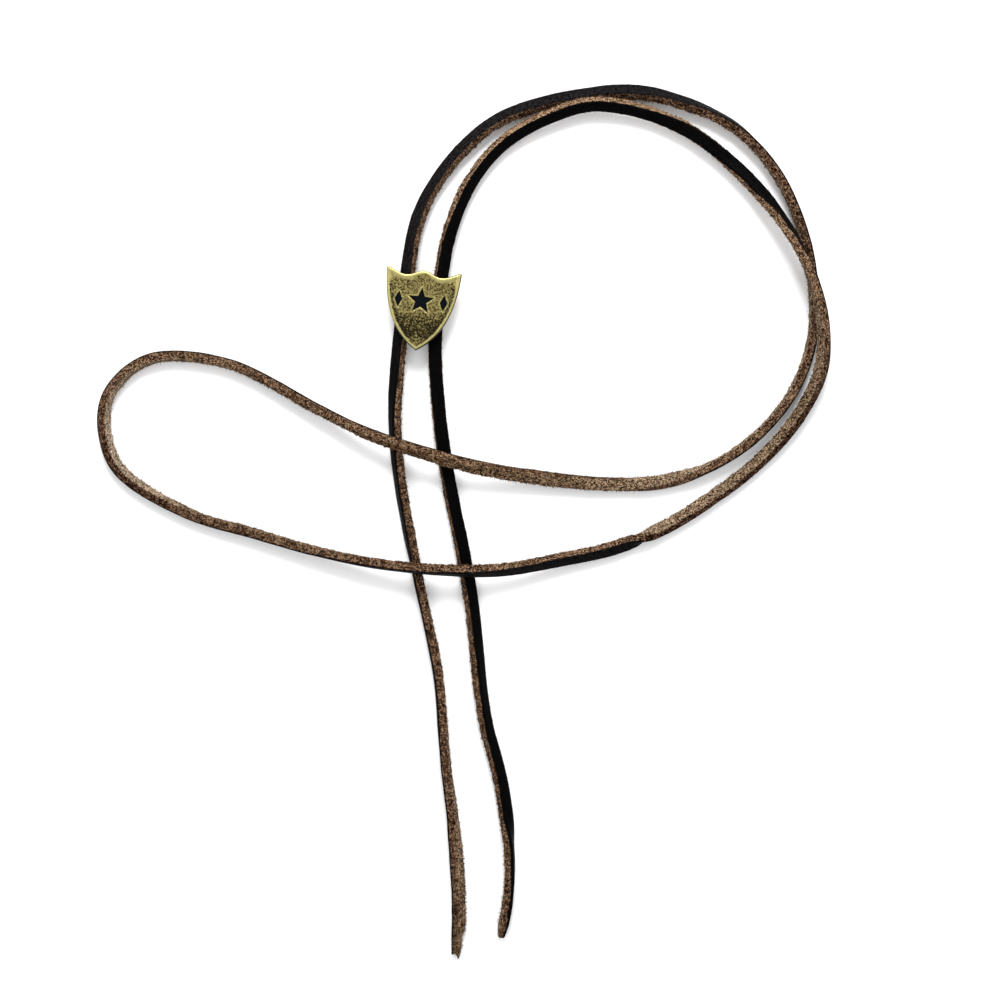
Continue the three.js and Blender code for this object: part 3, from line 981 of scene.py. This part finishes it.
    def make(self) -> Object:
        """Returns:
            The strand.
        """
        sizes = {"Width": self.width, "Thickness": self.thickness, "Corner": self.corner,
                 "Swell": self.swell, "Ragged": self.ragged, "Teeth": self.teeth, "Torn": self.torn,
                 "Spur": self.spur, "Length": self.length, "Section Points": self.section_points,
                 "Leather": self.leather}
        strand = make_with_nodes(self._curve(), self._sweep(sizes), sizes, "leather_strand")
        mesh = strand.data
        places = np.empty(3 * len(mesh.vertices))
        mesh.attributes["lace_place"].data.foreach_get("vector", places)
        # lace_shade carries the shade table: lightness with painted shade, and grain wear with
        # painted sheen.
        shade = mesh.attributes.new("lace_shade", "FLOAT_VECTOR", "POINT")
        shade.data.foreach_set("vector", self.route.shade_at(places[::3]).ravel())
        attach(strand, ROOT)
        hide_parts("lace")
        return strand


class FibreLay(Enum):
    """How loose fibres sit on the leather.

    Each holds the direction kept on the strand that they follow, or nothing for straight off
    it, how strongly, how far they stray, and the share of each that lies behind its root.
    """

    MATTED = ("lace_run", 0.9, 0.75, 0.5)
    STANDING = ("", 0.75, 0.8, 0.12)
    FRINGE = ("lace_outward", 0.9, 0.7, 0.3)

    @property
    def word(self) -> str:
        """Gives the name that the pieces carry."""
        return self.name.lower()


@dataclass
class LaceFibres:
    """Loose fibres on the raw faces of the strand, with sizes in metres."""

    lay: FibreLay
    density: float
    shortest: float
    longest: float
    thickness: float
    curl: float
    seed: int
    segments: int = 4
    thinnest_share: float = 0.35
    grain_edge: float = 0.4 * MM
    flesh_corner: float = 0.6 * MM
    end_reach: Span = (20 * MM, 5 * MM)
    end_more: float = 1.8

    def _scatter(self, sizes: Wires) -> Tree:
        """Wires the tree that scatters bent fibres over the raw faces.

        Args:
            sizes: The tree's inputs.

        Returns:
            The tree.
        """
        tree = Tree.shaping(f"fibres_{self.lay.word}", sizes)
        given = tree.given

        def chance(kind: str, low: object, high: object, salt: int) -> Output:
            """Draws a random number or vector for each fibre.

            Args:
                kind: FLOAT or FLOAT_VECTOR.
                low: The least that comes up.
                high: The most that comes up.
                salt: Which draw it is.

            Returns:
                What was drawn.
            """
            tail = "" if kind == "FLOAT_VECTOR" else "_001"
            wires = {"Min" + tail: low, "Max" + tail: high,
                     "Seed": tree.plus(given["Seed"], float(salt))}
            node = tree.add("FunctionNodeRandomValue", wires, data_type=kind)
            return next(s for s in node.outputs if s.enabled)

        along, grainward, across = tree.split(tree.kept("lace_place"))
        to_end = tree.sum("MINIMUM", along, tree.less(given["Run Length"], along))
        at_end = tree.ramp(to_end, *self.end_reach, 1.0, self.end_more)
        if self.lay is FibreLay.FRINGE:
            corner = tree.less(tree.sum("ABSOLUTE", across), grainward)
            bare = tree.product(tree.sum("GREATER_THAN", corner, given["Flesh Corner"]), at_end)
        else:
            bare = tree.sum("LESS_THAN", grainward, given["Grain Edge"])
        points = tree.add("GeometryNodeDistributePointsOnFaces", {
            "Mesh": given["Geometry"], "Density": tree.product(given["Density"], bare),
            "Seed": given["Seed"]}).outputs
        roots = tree.captured(points["Points"], {"Tone": ("FLOAT", chance("FLOAT", 0.0, 1.0, 7))})

        follows, pull, stray, behind = self.lay.value
        aim = tree.kept(follows) if follows else points["Normal"]
        spread = chance("FLOAT_VECTOR", (-1.0, -1.0, -1.0), (1.0, 1.0, 1.0), 1)
        direction = tree.combine("ADD", tree.times(aim, pull), tree.times(spread, stray))
        if self.lay is FibreLay.MATTED:
            off = tree.measure("DOT_PRODUCT", direction, points["Normal"])
            direction = tree.combine("SUBTRACT", direction, tree.times(points["Normal"], off))
        turned = tree.out("FunctionNodeAlignRotationToVector", {"Vector": direction}, axis="Z")
        hair = tree.out("GeometryNodeCurvePrimitiveLine",
                        {"Start": (0.0, 0.0, -behind), "End": (0.0, 0.0, 1.0 - behind)})
        hair = tree.out("GeometryNodeResampleCurve",
                        {"Curve": hair, "Count": tree.plus(given["Segments"], 1.0)})
        length = chance("FLOAT", given["Shortest"], given["Longest"], 2)
        if self.lay is FibreLay.FRINGE:
            length = tree.product(length, at_end)
        hairs = tree.out("GeometryNodeInstanceOnPoints", {
            "Points": roots["Geometry"], "Instance": hair, "Rotation": turned,
            "Scale": tree.joined(length, length, length)})
        hairs = tree.out("GeometryNodeRealizeInstances", {"Geometry": hairs})
        share = tree.add("GeometryNodeSplineParameter").outputs["Factor"]
        sway = tree.noise(tree.times(tree.here(), 1 / MM), 1.3, detail=1.0, seed=3.0 + self.seed,
                          colour=True)
        sway = tree.combine("SUBTRACT", sway, MID_COLOUR)
        sway = tree.times(sway, tree.product(given["Curl"], 2.0))
        if self.lay is not FibreLay.MATTED:
            sway = tree.times(sway, share)
        hairs = tree.out("GeometryNodeSetPosition", {"Geometry": hairs, "Offset": sway})
        ring = tree.out("GeometryNodeCurvePrimitiveCircle", {
            "Resolution": 3, "Radius": tree.product(given["Thickness"], 0.5)})
        from_middle = tree.sum("ABSOLUTE", tree.less(tree.product(share, 2.0), 1.0))
        taper = tree.ramp(from_middle, 0.3, 1.0, 1.0, self.thinnest_share)
        mesh = tree.out("GeometryNodeCurveToMesh",
                        {"Curve": hairs, "Profile Curve": ring, "Scale": taper, "Fill Caps": True})
        mesh = tree.stored(mesh, "fibre_tone", roots["Tone"], "FLOAT")
        return tree.finish(tree.out("GeometryNodeSetShadeSmooth", {"Geometry": mesh}), "Fibre")

    def make(self, strand: Object, lace: Lace, fibre: Material) -> Object:
        """Scatters the fibres over the strand.

        Args:
            strand: The finished strand.
            lace: Its sizes.
            fibre: The fibres' material.

        Returns:
            The fibres as one piece.
        """
        ground = placed("fibre_ground", strand.data.copy())
        sizes = {"Density": self.density, "Shortest": self.shortest, "Longest": self.longest,
                 "Thickness": self.thickness, "Curl": self.curl,
                 "Grain Edge": lace.thickness / 2 - self.grain_edge,
                 "Flesh Corner": (lace.width + lace.thickness) / 2 - self.flesh_corner,
                 "Run Length": lace.length, "Segments": self.segments, "Seed": self.seed,
                 "Fibre": fibre}
        made = make_with_nodes(ground, self._scatter(sizes), sizes, f"lace_fibres_{self.lay.word}")
        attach(made, ROOT)
        return made


def bezier(p: Sequence[tuple[float, float]], steps: int) -> np.ndarray:
    """Draws a cubic curve.

    Args:
        p: Its start, two handles and end.
        steps: How many pieces it has.

    Returns:
        The places along it, without its end.
    """
    a, b, c, d = (np.array(q) for q in p)
    u = np.linspace(0, 1, steps, endpoint=False)[:, None]
    return (1 - u)**3 * a + 3 * (1 - u)**2 * u * b + 3 * (1 - u) * u**2 * c + u**3 * d


def spaced(corners: np.ndarray, step: float) -> np.ndarray:
    """Puts places at even steps round a closed outline.

    Args:
        corners: The outline's corners.
        step: The distance wanted between places.

    Returns:
        The places.
    """
    closed = np.vstack([corners, corners[:1]])
    run = np.concatenate([[0.0], np.cumsum(np.linalg.norm(np.diff(closed, axis=0), axis=1))])
    at = np.linspace(0, run[-1], max(8, round(run[-1] / step)), endpoint=False)
    return np.stack([np.interp(at, run, closed[:, k]) for k in range(2)], axis=1)


def distance_to(places: np.ndarray, outline: np.ndarray) -> np.ndarray:
    """Measures how far places are from a closed outline.

    Args:
        places: The places.
        outline: The outline's corners.

    Returns:
        The distances, positive inside the outline and negative outside.
    """
    start, end = outline, np.roll(outline, -1, axis=0)
    side = end - start
    result = np.empty(len(places))
    for k in range(0, len(places), 4000):
        some = places[k:k + 4000, None, :]
        share = np.clip(((some - start) * side).sum(-1) / (side**2).sum(-1), 0, 1)
        gap = np.linalg.norm(some - (start + share[..., None] * side), axis=-1).min(1)
        y = some[..., 1]
        spans = (start[:, 1] > y) != (end[:, 1] > y)
        with np.errstate(divide="ignore", invalid="ignore"):
            crossing = start[:, 0] + (y - start[:, 1]) * side[:, 0] / side[:, 1]
        inside = (spans & (some[..., 0] < crossing)).sum(1) % 2 == 1
        result[k:k + 4000] = np.where(inside, gap, -gap)
    return result


@dataclass
class Shield:
    """The cast shield: plate, engraved and enamelled ornaments, and the post on its back.

    Its sizes are in millimetres. An inset is how far a row of corners lies inside an outline,
    and the post's profile gives shares of its radius with their heights. jitter and
    clear_of_cuts are shares of the lattice's step. A row's place is left out where it lies
    nearer to the outline than ring_share of its inset.
    """

    half_width: float = 9.3
    spike_top: float = 10.0
    scoop: float = 8.45
    crest: float = 9.75
    tip: float = -10.0
    curve_steps: tuple[int, ...] = (150, 6, 34, 32)
    back: float = 4.7
    front: float = 6.3
    rim_round: float = 0.42
    rim_drop: float = 0.35
    rim_width: float = 0.85
    rim_insets: tuple[float, ...] = (0.04, 0.10, 0.18, 0.28, 0.40, 0.52, 0.66, 0.80, 0.95, 1.1)
    rim_levels: int = 6
    field_slope: float = 0.35
    field_drop: float = 0.09
    crown: float = 0.10
    crown_reach: float = 11.0
    back_round: float = 0.3
    back_drop: float = 0.22
    back_insets: tuple[float, ...] = (0.06, 0.14, 0.24, 0.36, 0.6, 1.0)
    engraving: float = 0.34
    engraving_wall: float = 0.16
    engraving_insets: tuple[float, ...] = (0.05, 0.11, 0.17)
    lip: float = 0.02
    lip_width: float = 0.09
    ornament_height: float = 2.2
    ornament_step: float = 0.11
    star_points: int = 5
    star_radius: float = 3.5
    star_waist: float = 0.42
    lozenge_width: float = 2.0
    lozenge_height: float = 4.2
    lozenge_offset: float = 5.6
    post_radius: float = 0.9
    post_height: float = 4.0
    post_end: float = 0.3
    post_sides: int = 32
    post_profile: tuple[Span, ...] = ((1.0, 4.7), (1.0, 3.4), (1.0, 2.2), (1.0, 1.2), (1.0, 0.62),
                                      (0.93, 0.46), (0.78, 0.36), (0.5, 0.32))
    lattice: float = 0.125
    back_lattice: float = 0.45
    back_margin: float = 1.4
    post_clear: float = 0.2
    jitter: float = 0.18
    clear_of_cuts: float = 0.45
    ring_share: float = 0.96
    pit_depth: float = 0.035
    pits_per_mm: float = 1.7
    waves_per_mm: float = 0.45
    far_outside: float = -9.0
    seed: int = 11

    def outline(self) -> np.ndarray:
        """Draws the shield's outline, from its tip round to the left.

        Returns:
            Its corners.
        """
        w, top, tip, low, mid = self.half_width, self.spike_top, self.tip, self.scoop, self.crest
        curves = (
            [(0, tip), (0.81 * w, 0.54 * tip), (0.96 * w, 0.3 * top), (w, top - 0.3)],
            [(w, top - 0.3), (w - 0.02, top - 0.05), (w - 0.25, top + 0.02), (w - 0.5, top)],
            [(w - 0.5, top), (0.79 * w, 0.93 * top), (0.63 * w, low), (0.46 * w, low)],
            [(0.46 * w, low), (0.31 * w, low), (0.14 * w, mid), (0, mid)],
        )
        half = np.vstack([bezier(c, steps) for c, steps in zip(curves, self.curve_steps)])
        return np.vstack([half, [(0, mid)], half[:0:-1] * (-1, 1)])

    def ornaments(self) -> list[np.ndarray]:
        """Draws the star and the two lozenges.

        Returns:
            Their outlines.
        """
        h = self.ornament_height
        k = np.arange(2 * self.star_points)
        angle = math.pi / 2 + k * math.pi / self.star_points
        radius = np.where(k % 2, self.star_radius * self.star_waist, self.star_radius)
        shapes = [np.stack([radius * np.cos(angle), h + radius * np.sin(angle)], axis=1)]
        for side in (-1, 1):
            x, w, t = side * self.lozenge_offset, self.lozenge_width / 2, self.lozenge_height / 2
            shapes.append(np.array([(x + w, h), (x, h + t), (x - w, h), (x, h - t)]))
        return [spaced(s, self.ornament_step) for s in shapes]

    def _triangles(self, loops: Sequence[np.ndarray],
                   loose: np.ndarray) -> tuple[np.ndarray, np.ndarray]:
        """Fills the first loop with triangles that keep to every loop and use every place.

        Args:
            loops: Closed outlines, the outermost first.
            loose: Places inside.

        Returns:
            The corners and the triangles.
        """
        places, edges = [], []
        for loop in loops:
            first = len(places)
            places += [Vector(p) for p in loop]
            edges += [(first + k, first + (k + 1) % len(loop)) for k in range(len(loop))]
        boundary = [list(range(len(loops[0])))]
        places += [Vector(p) for p in loose]
        corners, _, faces, *_ = delaunay_2d_cdt(places, edges, boundary, 1, 1e-6)
        return np.array([tuple(c) for c in corners]), np.array([tuple(f) for f in faces])

    def _lattice(self, outline: np.ndarray, keep_from: Sequence[np.ndarray], step: float,
                 margin: float) -> np.ndarray:
        """Spreads places over the plate, clear of its edge and of the ornaments' edges.

        Args:
            outline: The plate's outline.
            keep_from: The ornaments' outlines.
            step: The distance between places.
            margin: How far from the plate's edge they start.

        Returns:
            The places.
        """
        rng = np.random.default_rng(self.seed)
        xs = np.arange(-self.half_width, self.half_width, step)
        ys = np.arange(self.tip, self.spike_top, step * math.sqrt(3) / 2)
        grid = np.array([(x + (step / 2 if k % 2 else 0), y) for k, y in enumerate(ys) for x in xs])
        grid += rng.uniform(-self.jitter, self.jitter, grid.shape) * step
        kept = grid[distance_to(grid, outline) > margin]
        for shape in keep_from:
            kept = kept[np.abs(distance_to(kept, shape)) > step * self.clear_of_cuts]
        return kept

    def _rings(self, outline: np.ndarray, insets: Sequence[float]) -> np.ndarray:
        """Puts rows of places inside a loop.

        Args:
            outline: The loop.
            insets: Each row's distance from it.

        Returns:
            The places.
        """
        ahead = np.roll(outline, -1, axis=0) - np.roll(outline, 1, axis=0)
        inward = np.stack([-ahead[:, 1], ahead[:, 0]], axis=1)
        inward /= np.linalg.norm(inward, axis=1)[:, None]
        rows = []
        for inset in insets:
            row = outline + inward * inset
            rows.append(row[distance_to(row, outline) > self.ring_share * inset])
        return np.vstack(rows)

    def _front_height(self, at: np.ndarray, edge: np.ndarray, cut: np.ndarray) -> np.ndarray:
        """Gives the height of the front.

        Args:
            at: Places on it.
            edge: How far each is from the plate's edge.
            cut: How far each is inside an ornament, negative outside.

        Returns:
            The heights.
        """
        round_off = self._rounded(edge, self.rim_round, self.rim_drop)
        share = np.clip((edge - self.rim_width) / self.field_slope, 0, 1)
        hollow = self.field_drop * share * share * (3 - 2 * share)
        sideways, upwards = at[:, 0] / self.half_width, at[:, 1] / self.crown_reach
        crown = self.crown * np.clip(1 - sideways**2 - upwards**2, 0, 1)
        wall = np.clip(cut / self.engraving_wall, 0, 1)
        lip = self.lip * np.exp(-(np.clip(cut, -1, 0) / self.lip_width)**2)
        depth = self.engraving * wall * wall * (3 - 2 * wall)
        height = self.front - self.crown - round_off - hollow + crown - depth - lip * (cut < 0)
        return np.minimum(height, self.front)

    def _rounded(self, edge: np.ndarray, reach: float, drop: float) -> np.ndarray:
        """Gives how far a rounded edge falls away at some distances from it."""
        near = np.clip(1 - edge / reach, 0, 1)
        return drop * (1 - np.sqrt(1 - near**2))

    def _inset(self, places: np.ndarray, outline: np.ndarray) -> np.ndarray:
        """Measures how far places are inside an outline, with plain zero on it."""
        inset = np.maximum(distance_to(places, outline), 0)
        return np.where(inset < 1e-4, 0.0, inset)

    def _quads(self, start: int, rows: int, count: int) -> list[tuple[int, ...]]:
        """Joins rows of corners, one below the other, with quads all the way round.

        Args:
            start: The number of the first corner.
            rows: How many rows there are.
            count: How many corners a row has.

        Returns:
            The faces.
        """
        pairs = [(start + row * count + k, start + row * count + (k + 1) % count)
                 for row in range(rows - 1) for k in range(count)]
        return [(a, a + count, b + count, b) for a, b in pairs]

    def _plate(self) -> tuple[np.ndarray, list[tuple[int, ...]], np.ndarray, np.ndarray]:
        """Builds the plate and its post.

        Returns:
            The corners, the faces, and for each corner its distance from the rim and into an
            ornament.
        """
        outline = self.outline()
        shapes = self.ornaments()
        rings = self._rings(outline, self.rim_insets)
        walls = [self._rings(s, self.engraving_insets) for s in shapes]
        margin = self.rim_insets[-1] + 0.6 * self.lattice
        loose = np.vstack([rings, *walls, self._lattice(outline, shapes, self.lattice, margin)])
        front, front_faces = self._triangles([outline, *shapes], loose)
        cut = np.max([distance_to(front, s) for s in shapes], axis=0)
        top = np.c_[front, self._front_height(front, self._inset(front, outline), cut)]

        angle = np.linspace(0, 2 * math.pi, self.post_sides, endpoint=False)
        circle = np.stack([np.cos(angle), np.sin(angle)], axis=1)
        collar = circle * self.post_radius + (0, self.post_height)
        coarse = self._rings(outline, self.back_insets)
        lattice = self._lattice(outline, [], self.back_lattice, self.back_margin)
        coarse = np.vstack([coarse, lattice])
        coarse = coarse[distance_to(coarse, collar) < -self.post_clear]
        under, under_faces = self._triangles([outline, collar], coarse)
        under_faces = under_faces[distance_to(under[under_faces].mean(1), collar) < 0]
        lift = self._rounded(self._inset(under, outline), self.back_round, self.back_drop)
        bottom = np.c_[under, self.back + lift]

        corners, faces = [top, bottom], [tuple(f) for f in front_faces]
        faces += [tuple(len(top) + v for v in f[::-1]) for f in under_faces]
        start, count = len(top) + len(bottom), len(outline)
        upper = self._front_height(outline, np.zeros(count), np.full(count, self.far_outside))
        for level in np.linspace(0, 1, self.rim_levels):
            corners.append(np.c_[outline, upper + level * (self.back + self.back_drop - upper)])
        faces += self._quads(start, self.rim_levels, count)
        start += self.rim_levels * count
        for share, level in self.post_profile:
            ring = circle * self.post_radius * share + (0, self.post_height)
            corners.append(np.c_[ring, np.full(self.post_sides, level)])
        faces += self._quads(start, len(self.post_profile), self.post_sides)
        pole = start + len(self.post_profile) * self.post_sides
        last = pole - self.post_sides
        corners.append(np.array([(0.0, self.post_height, self.post_end)]))
        sides = self.post_sides
        faces += [(last + k, pole, last + (k + 1) % sides) for k in range(sides)]
        every = np.vstack(corners)
        rim = np.maximum(distance_to(every[:, :2], outline), 0)
        cuts = np.concatenate([cut, np.full(len(every) - len(top), self.far_outside)])
        return every, faces, rim, cuts

    def _pitted(self, sizes: Wires) -> Tree:
        """Wires the tree that gives the plate its slightly uneven cast skin.

        Args:
            sizes: The tree's inputs.

        Returns:
            The tree.
        """
        tree = Tree.shaping("cast_pits", sizes)
        given = tree.given
        here = tree.times(tree.here(), 1 / MM)
        fine = tree.noise(here, given["Pits Per Millimetre"], detail=3.0, seed=6.0, rough=0.65)
        pits = tree.ramp(fine, 0.60, 0.38)
        wavy = tree.swing(here, self.waves_per_mm, seed=8.0)
        inner = tree.ramp(tree.kept("rim_distance", "FLOAT"), 0.2, 1.0, 0.25, 1.0)
        bare = tree.ramp(tree.kept("cut_distance", "FLOAT"), 0.02, 0.08, 1.0, 0.2)
        amount = tree.plus(pits, tree.product(wavy, -1.2))
        amount = tree.product(amount, inner, bare, given["Pit Depth"], -1.0)
        offset = tree.times(tree.out("GeometryNodeInputNormal"), amount)
        return tree.finish(tree.out("GeometryNodeSetPosition", {
            "Geometry": given["Geometry"], "Offset": offset}), "Brass")

    def make(self) -> Object:
        """Builds and dresses the shield.

        Returns:
            The shield.
        """
        corners, faces, rim, cuts = self._plate()
        mesh = bpy.data.meshes.new("shield_plate")
        mesh.from_pydata([tuple(c) for c in corners * MM], [],
                         [tuple(int(v) for v in f) for f in faces])
        for name, values in (("rim_distance", rim), ("cut_distance", cuts)):
            mesh.attributes.new(name, "FLOAT", "POINT").data.foreach_set("value", values)
        work = bmesh.new()
        work.from_mesh(mesh)
        bmesh.ops.remove_doubles(work, verts=work.verts, dist=2e-6)
        bmesh.ops.recalc_face_normals(work, faces=work.faces)
        open_edges = sum(len(e.link_faces) != 2 for e in work.edges)
        work.to_mesh(mesh)
        work.free()
        mesh.polygons.foreach_set("use_smooth", [True] * len(mesh.polygons))
        sizes = {"Pit Depth": self.pit_depth * MM, "Pits Per Millimetre": self.pits_per_mm,
                 "Brass": AntiqueBrass().make()}
        plate = placed("shield_plate", mesh)
        made = make_with_nodes(plate, self._pitted(sizes), sizes, "brass_shield")
        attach(made, ROOT)
        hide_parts("shield")
        log.info("shield: open edges %d", open_edges)
        return made


@dataclass
class BackClip:
    """The cast clip behind the shield, with one channel for each strand.

    Its sizes are in millimetres.
    """

    base: float = 0.6
    wall: float = 0.7
    half_rib: float = 1.9
    channel_width: float = 4.5
    top: float = 4.4
    lower_end: float = 0.6
    upper_end: float = 7.4
    bore_radius: float = 1.2
    bore_sides: int = 48
    drill_length: float = 20.0
    edge: float = 0.14
    edge_steps: int = 3

    def _profile(self) -> list[tuple[float, float]]:
        """Draws the clip's end: a floor, two walls and a middle rib.

        Returns:
            Its corners, sideways and up.
        """
        inner = self.half_rib + self.channel_width
        outer = inner + self.wall
        right = [(outer, 0.0), (outer, self.top), (inner, self.top), (inner, self.base),
                 (self.half_rib, self.base), (self.half_rib, self.top)]
        return right + [(-x, z) for x, z in reversed(right)]

    def _body(self) -> Object:
        """Builds the clip without its bore.

        Returns:
            The clip's body.
        """
        work = bmesh.new()
        near = [work.verts.new((x * MM, self.lower_end * MM, z * MM)) for x, z in self._profile()]
        pushed = bmesh.ops.extrude_face_region(work, geom=[work.faces.new(near)])
        moved = [v for v in pushed["geom"] if isinstance(v, bmesh.types.BMVert)]
        bmesh.ops.translate(work, verts=moved, vec=(0, (self.upper_end - self.lower_end) * MM, 0))
        bmesh.ops.recalc_face_normals(work, faces=work.faces)
        return self._written(work, "clip_body")

    def _drill(self) -> Object:
        """Builds the rod that cuts the bore.

        Returns:
            The rod.
        """
        work = bmesh.new()
        radius, middle = self.bore_radius * MM, (self.lower_end + self.upper_end) / 2
        bmesh.ops.create_cone(work, cap_ends=True, segments=self.bore_sides, radius1=radius,
                              radius2=radius, depth=self.drill_length * MM)
        bmesh.ops.translate(work, verts=work.verts, vec=(0, middle * MM, 0))
        return self._written(work, "clip_drill")

    def _written(self, work: bmesh.types.BMesh, name: str) -> Object:
        """Turns a mesh in the making into an object.

        Args:
            work: The mesh, which is used up.
            name: The object's name.

        Returns:
            The object.
        """
        mesh = bpy.data.meshes.new(name)
        work.to_mesh(mesh)
        work.free()
        return placed(name, mesh)

    def make(self) -> Object:
        """Builds and dresses the clip.

        Returns:
            The clip.
        """
        body, drill = self._body(), self._drill()
        bore = body.modifiers.new("bore", "BOOLEAN")
        bore.operation, bore.object, bore.solver = "DIFFERENCE", drill, "EXACT"
        soften = body.modifiers.new("edges", "BEVEL")
        soften.width, soften.segments = self.edge * MM, self.edge_steps
        soften.limit_method, soften.angle_limit = "ANGLE", math.radians(40)
        soften.harden_normals = False
        made = flattened(body, "brass_clip")
        made.data = in_fixed_order(made.data)
        bpy.data.objects.remove(drill)
        made.data.materials.append(PlainBrass().make())
        made.data.polygons.foreach_set("use_smooth", [True] * len(made.data.polygons))
        made.data.set_sharp_from_angle(angle=math.radians(35))
        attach(made, ROOT)
        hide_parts("back_clip")
        return made


@dataclass
class Studio:
    """Camera, pale floor and soft light; the room is brightest in a belt above its horizon."""

    roll: float = math.radians(6.5)
    middle_x: float = 0.0249
    middle_y: float = -0.0443
    view_width: float = 0.250
    lens: float = 60.0
    sensor: float = 36.0
    floor_size: float = 4.0
    floor_colour: Colour = (0.86, 0.86, 0.865, 1.0)
    floor_roughness: float = 0.9
    floor_shine: float = 0.1
    key_power: float = 12.0
    key_size: float = 0.42
    key_distance: float = 1.1
    key_height: float = math.radians(44)
    horizon: float = 0.40
    sky: float = 1.7
    sky_starts: Span = (0.25, 0.60)
    zenith: float = 0.15
    zenith_starts: Span = (0.86, 0.97)

    def camera(self) -> None:
        """Sets the camera straight above, turned a little."""
        data = bpy.data.cameras.new("camera")
        data.lens, data.sensor_width = self.lens, self.sensor
        data.clip_start, data.clip_end = 0.01, 20.0
        camera = placed("camera", data)
        camera.location = (self.middle_x, self.middle_y, self.lens * self.view_width / self.sensor)
        camera.rotation_euler = (0.0, 0.0, self.roll)
        bpy.context.scene.camera = camera

    def floor(self) -> None:
        """Lays the floor under the necklace."""
        half = self.floor_size / 2
        mesh = bpy.data.meshes.new("floor")
        mesh.from_pydata([(-half, -half, 0), (half, -half, 0), (half, half, 0), (-half, half, 0)],
                         [], [(0, 1, 2, 3)])
        floor = placed("floor", mesh)
        material, tree, shader = new_material("pale_paper")
        for name, value in (("Base Color", self.floor_colour), ("Roughness", self.floor_roughness),
                            ("Specular IOR Level", self.floor_shine)):
            tree.plug(shader, name, value)
        mesh.materials.append(material)

    def lamp(self) -> None:
        """Hangs one large soft light at the top of the view."""
        data = bpy.data.lights.new("window_light", "AREA")
        data.shape, data.size, data.energy = "DISK", self.key_size, self.key_power
        lamp = placed("window_light", data)
        flat, rise = math.cos(self.key_height), math.sin(self.key_height)
        away = Vector((-math.sin(self.roll) * flat, math.cos(self.roll) * flat, rise))
        lamp.location = Vector((self.middle_x, self.middle_y, 0.0)) + away * self.key_distance
        lamp.rotation_euler = away.to_track_quat("Z", "Y").to_euler()

    def room(self) -> None:
        """Puts the necklace in a pale room, by how high the light comes from."""
        world = bpy.data.worlds.new("pale_room")
        bpy.context.scene.world = world
        world.use_nodes = True
        tree = Tree(world.node_tree)
        up = tree.split(tree.add("ShaderNodeTexCoord").outputs["Generated"])[2]
        strength = tree.ramp(up, *self.sky_starts, self.horizon, self.sky)
        strength = tree.product(strength, tree.ramp(up, *self.zenith_starts, 1.0, self.zenith))
        background = tree.nodes.nodes["Background"]
        tree.plug(background, "Color", (1.0, 1.0, 1.0, 1.0))
        tree.plug(background, "Strength", strength)

    def set_up(self) -> None:
        """Sets up the camera, the floor, the light, the room and plain colours."""
        self.camera()
        self.floor()
        self.lamp()
        self.room()
        bpy.context.scene.view_settings.view_transform = "Standard"


def triangles_in(piece: Object) -> int:
    """Counts the triangles of a piece."""
    return sum(len(p.vertices) - 2 for p in piece.data.polygons)


def main() -> None:
    """Builds the necklace and the studio, and writes how large they came out."""
    logging.basicConfig(level=logging.INFO, format="%(name)s: %(message)s", stream=sys.stdout)
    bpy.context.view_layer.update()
    Studio().set_up()
    lace = Lace()
    strand = lace.make()
    log.info("lace: %.1f mm long, %d triangles", lace.length / MM, triangles_in(strand))
    fibre = LooseFibre(lace.raw).make()
    coats = (
        LaceFibres(FibreLay.MATTED, 1.0e6, 0.6 * MM, 1.5 * MM, 0.10 * MM, 0.28 * MM, 5, segments=3),
        LaceFibres(FibreLay.STANDING, 0.7e6, 0.3 * MM, 0.95 * MM, 0.06 * MM, 0.3 * MM, 9),
        LaceFibres(FibreLay.FRINGE, 3.2e6, 0.3 * MM, 0.8 * MM, 0.13 * MM, 0.2 * MM, 15, segments=2),
    )
    for coat in coats:
        piece = coat.make(strand, lace, fibre)
        log.info("%s: %d triangles", piece.name, triangles_in(piece))
    shield = Shield().make()
    log.info("shield: %d triangles", triangles_in(shield))
    clip = BackClip().make()
    log.info("back clip: %d triangles", triangles_in(clip))


if __name__ == "__main__":
    main()
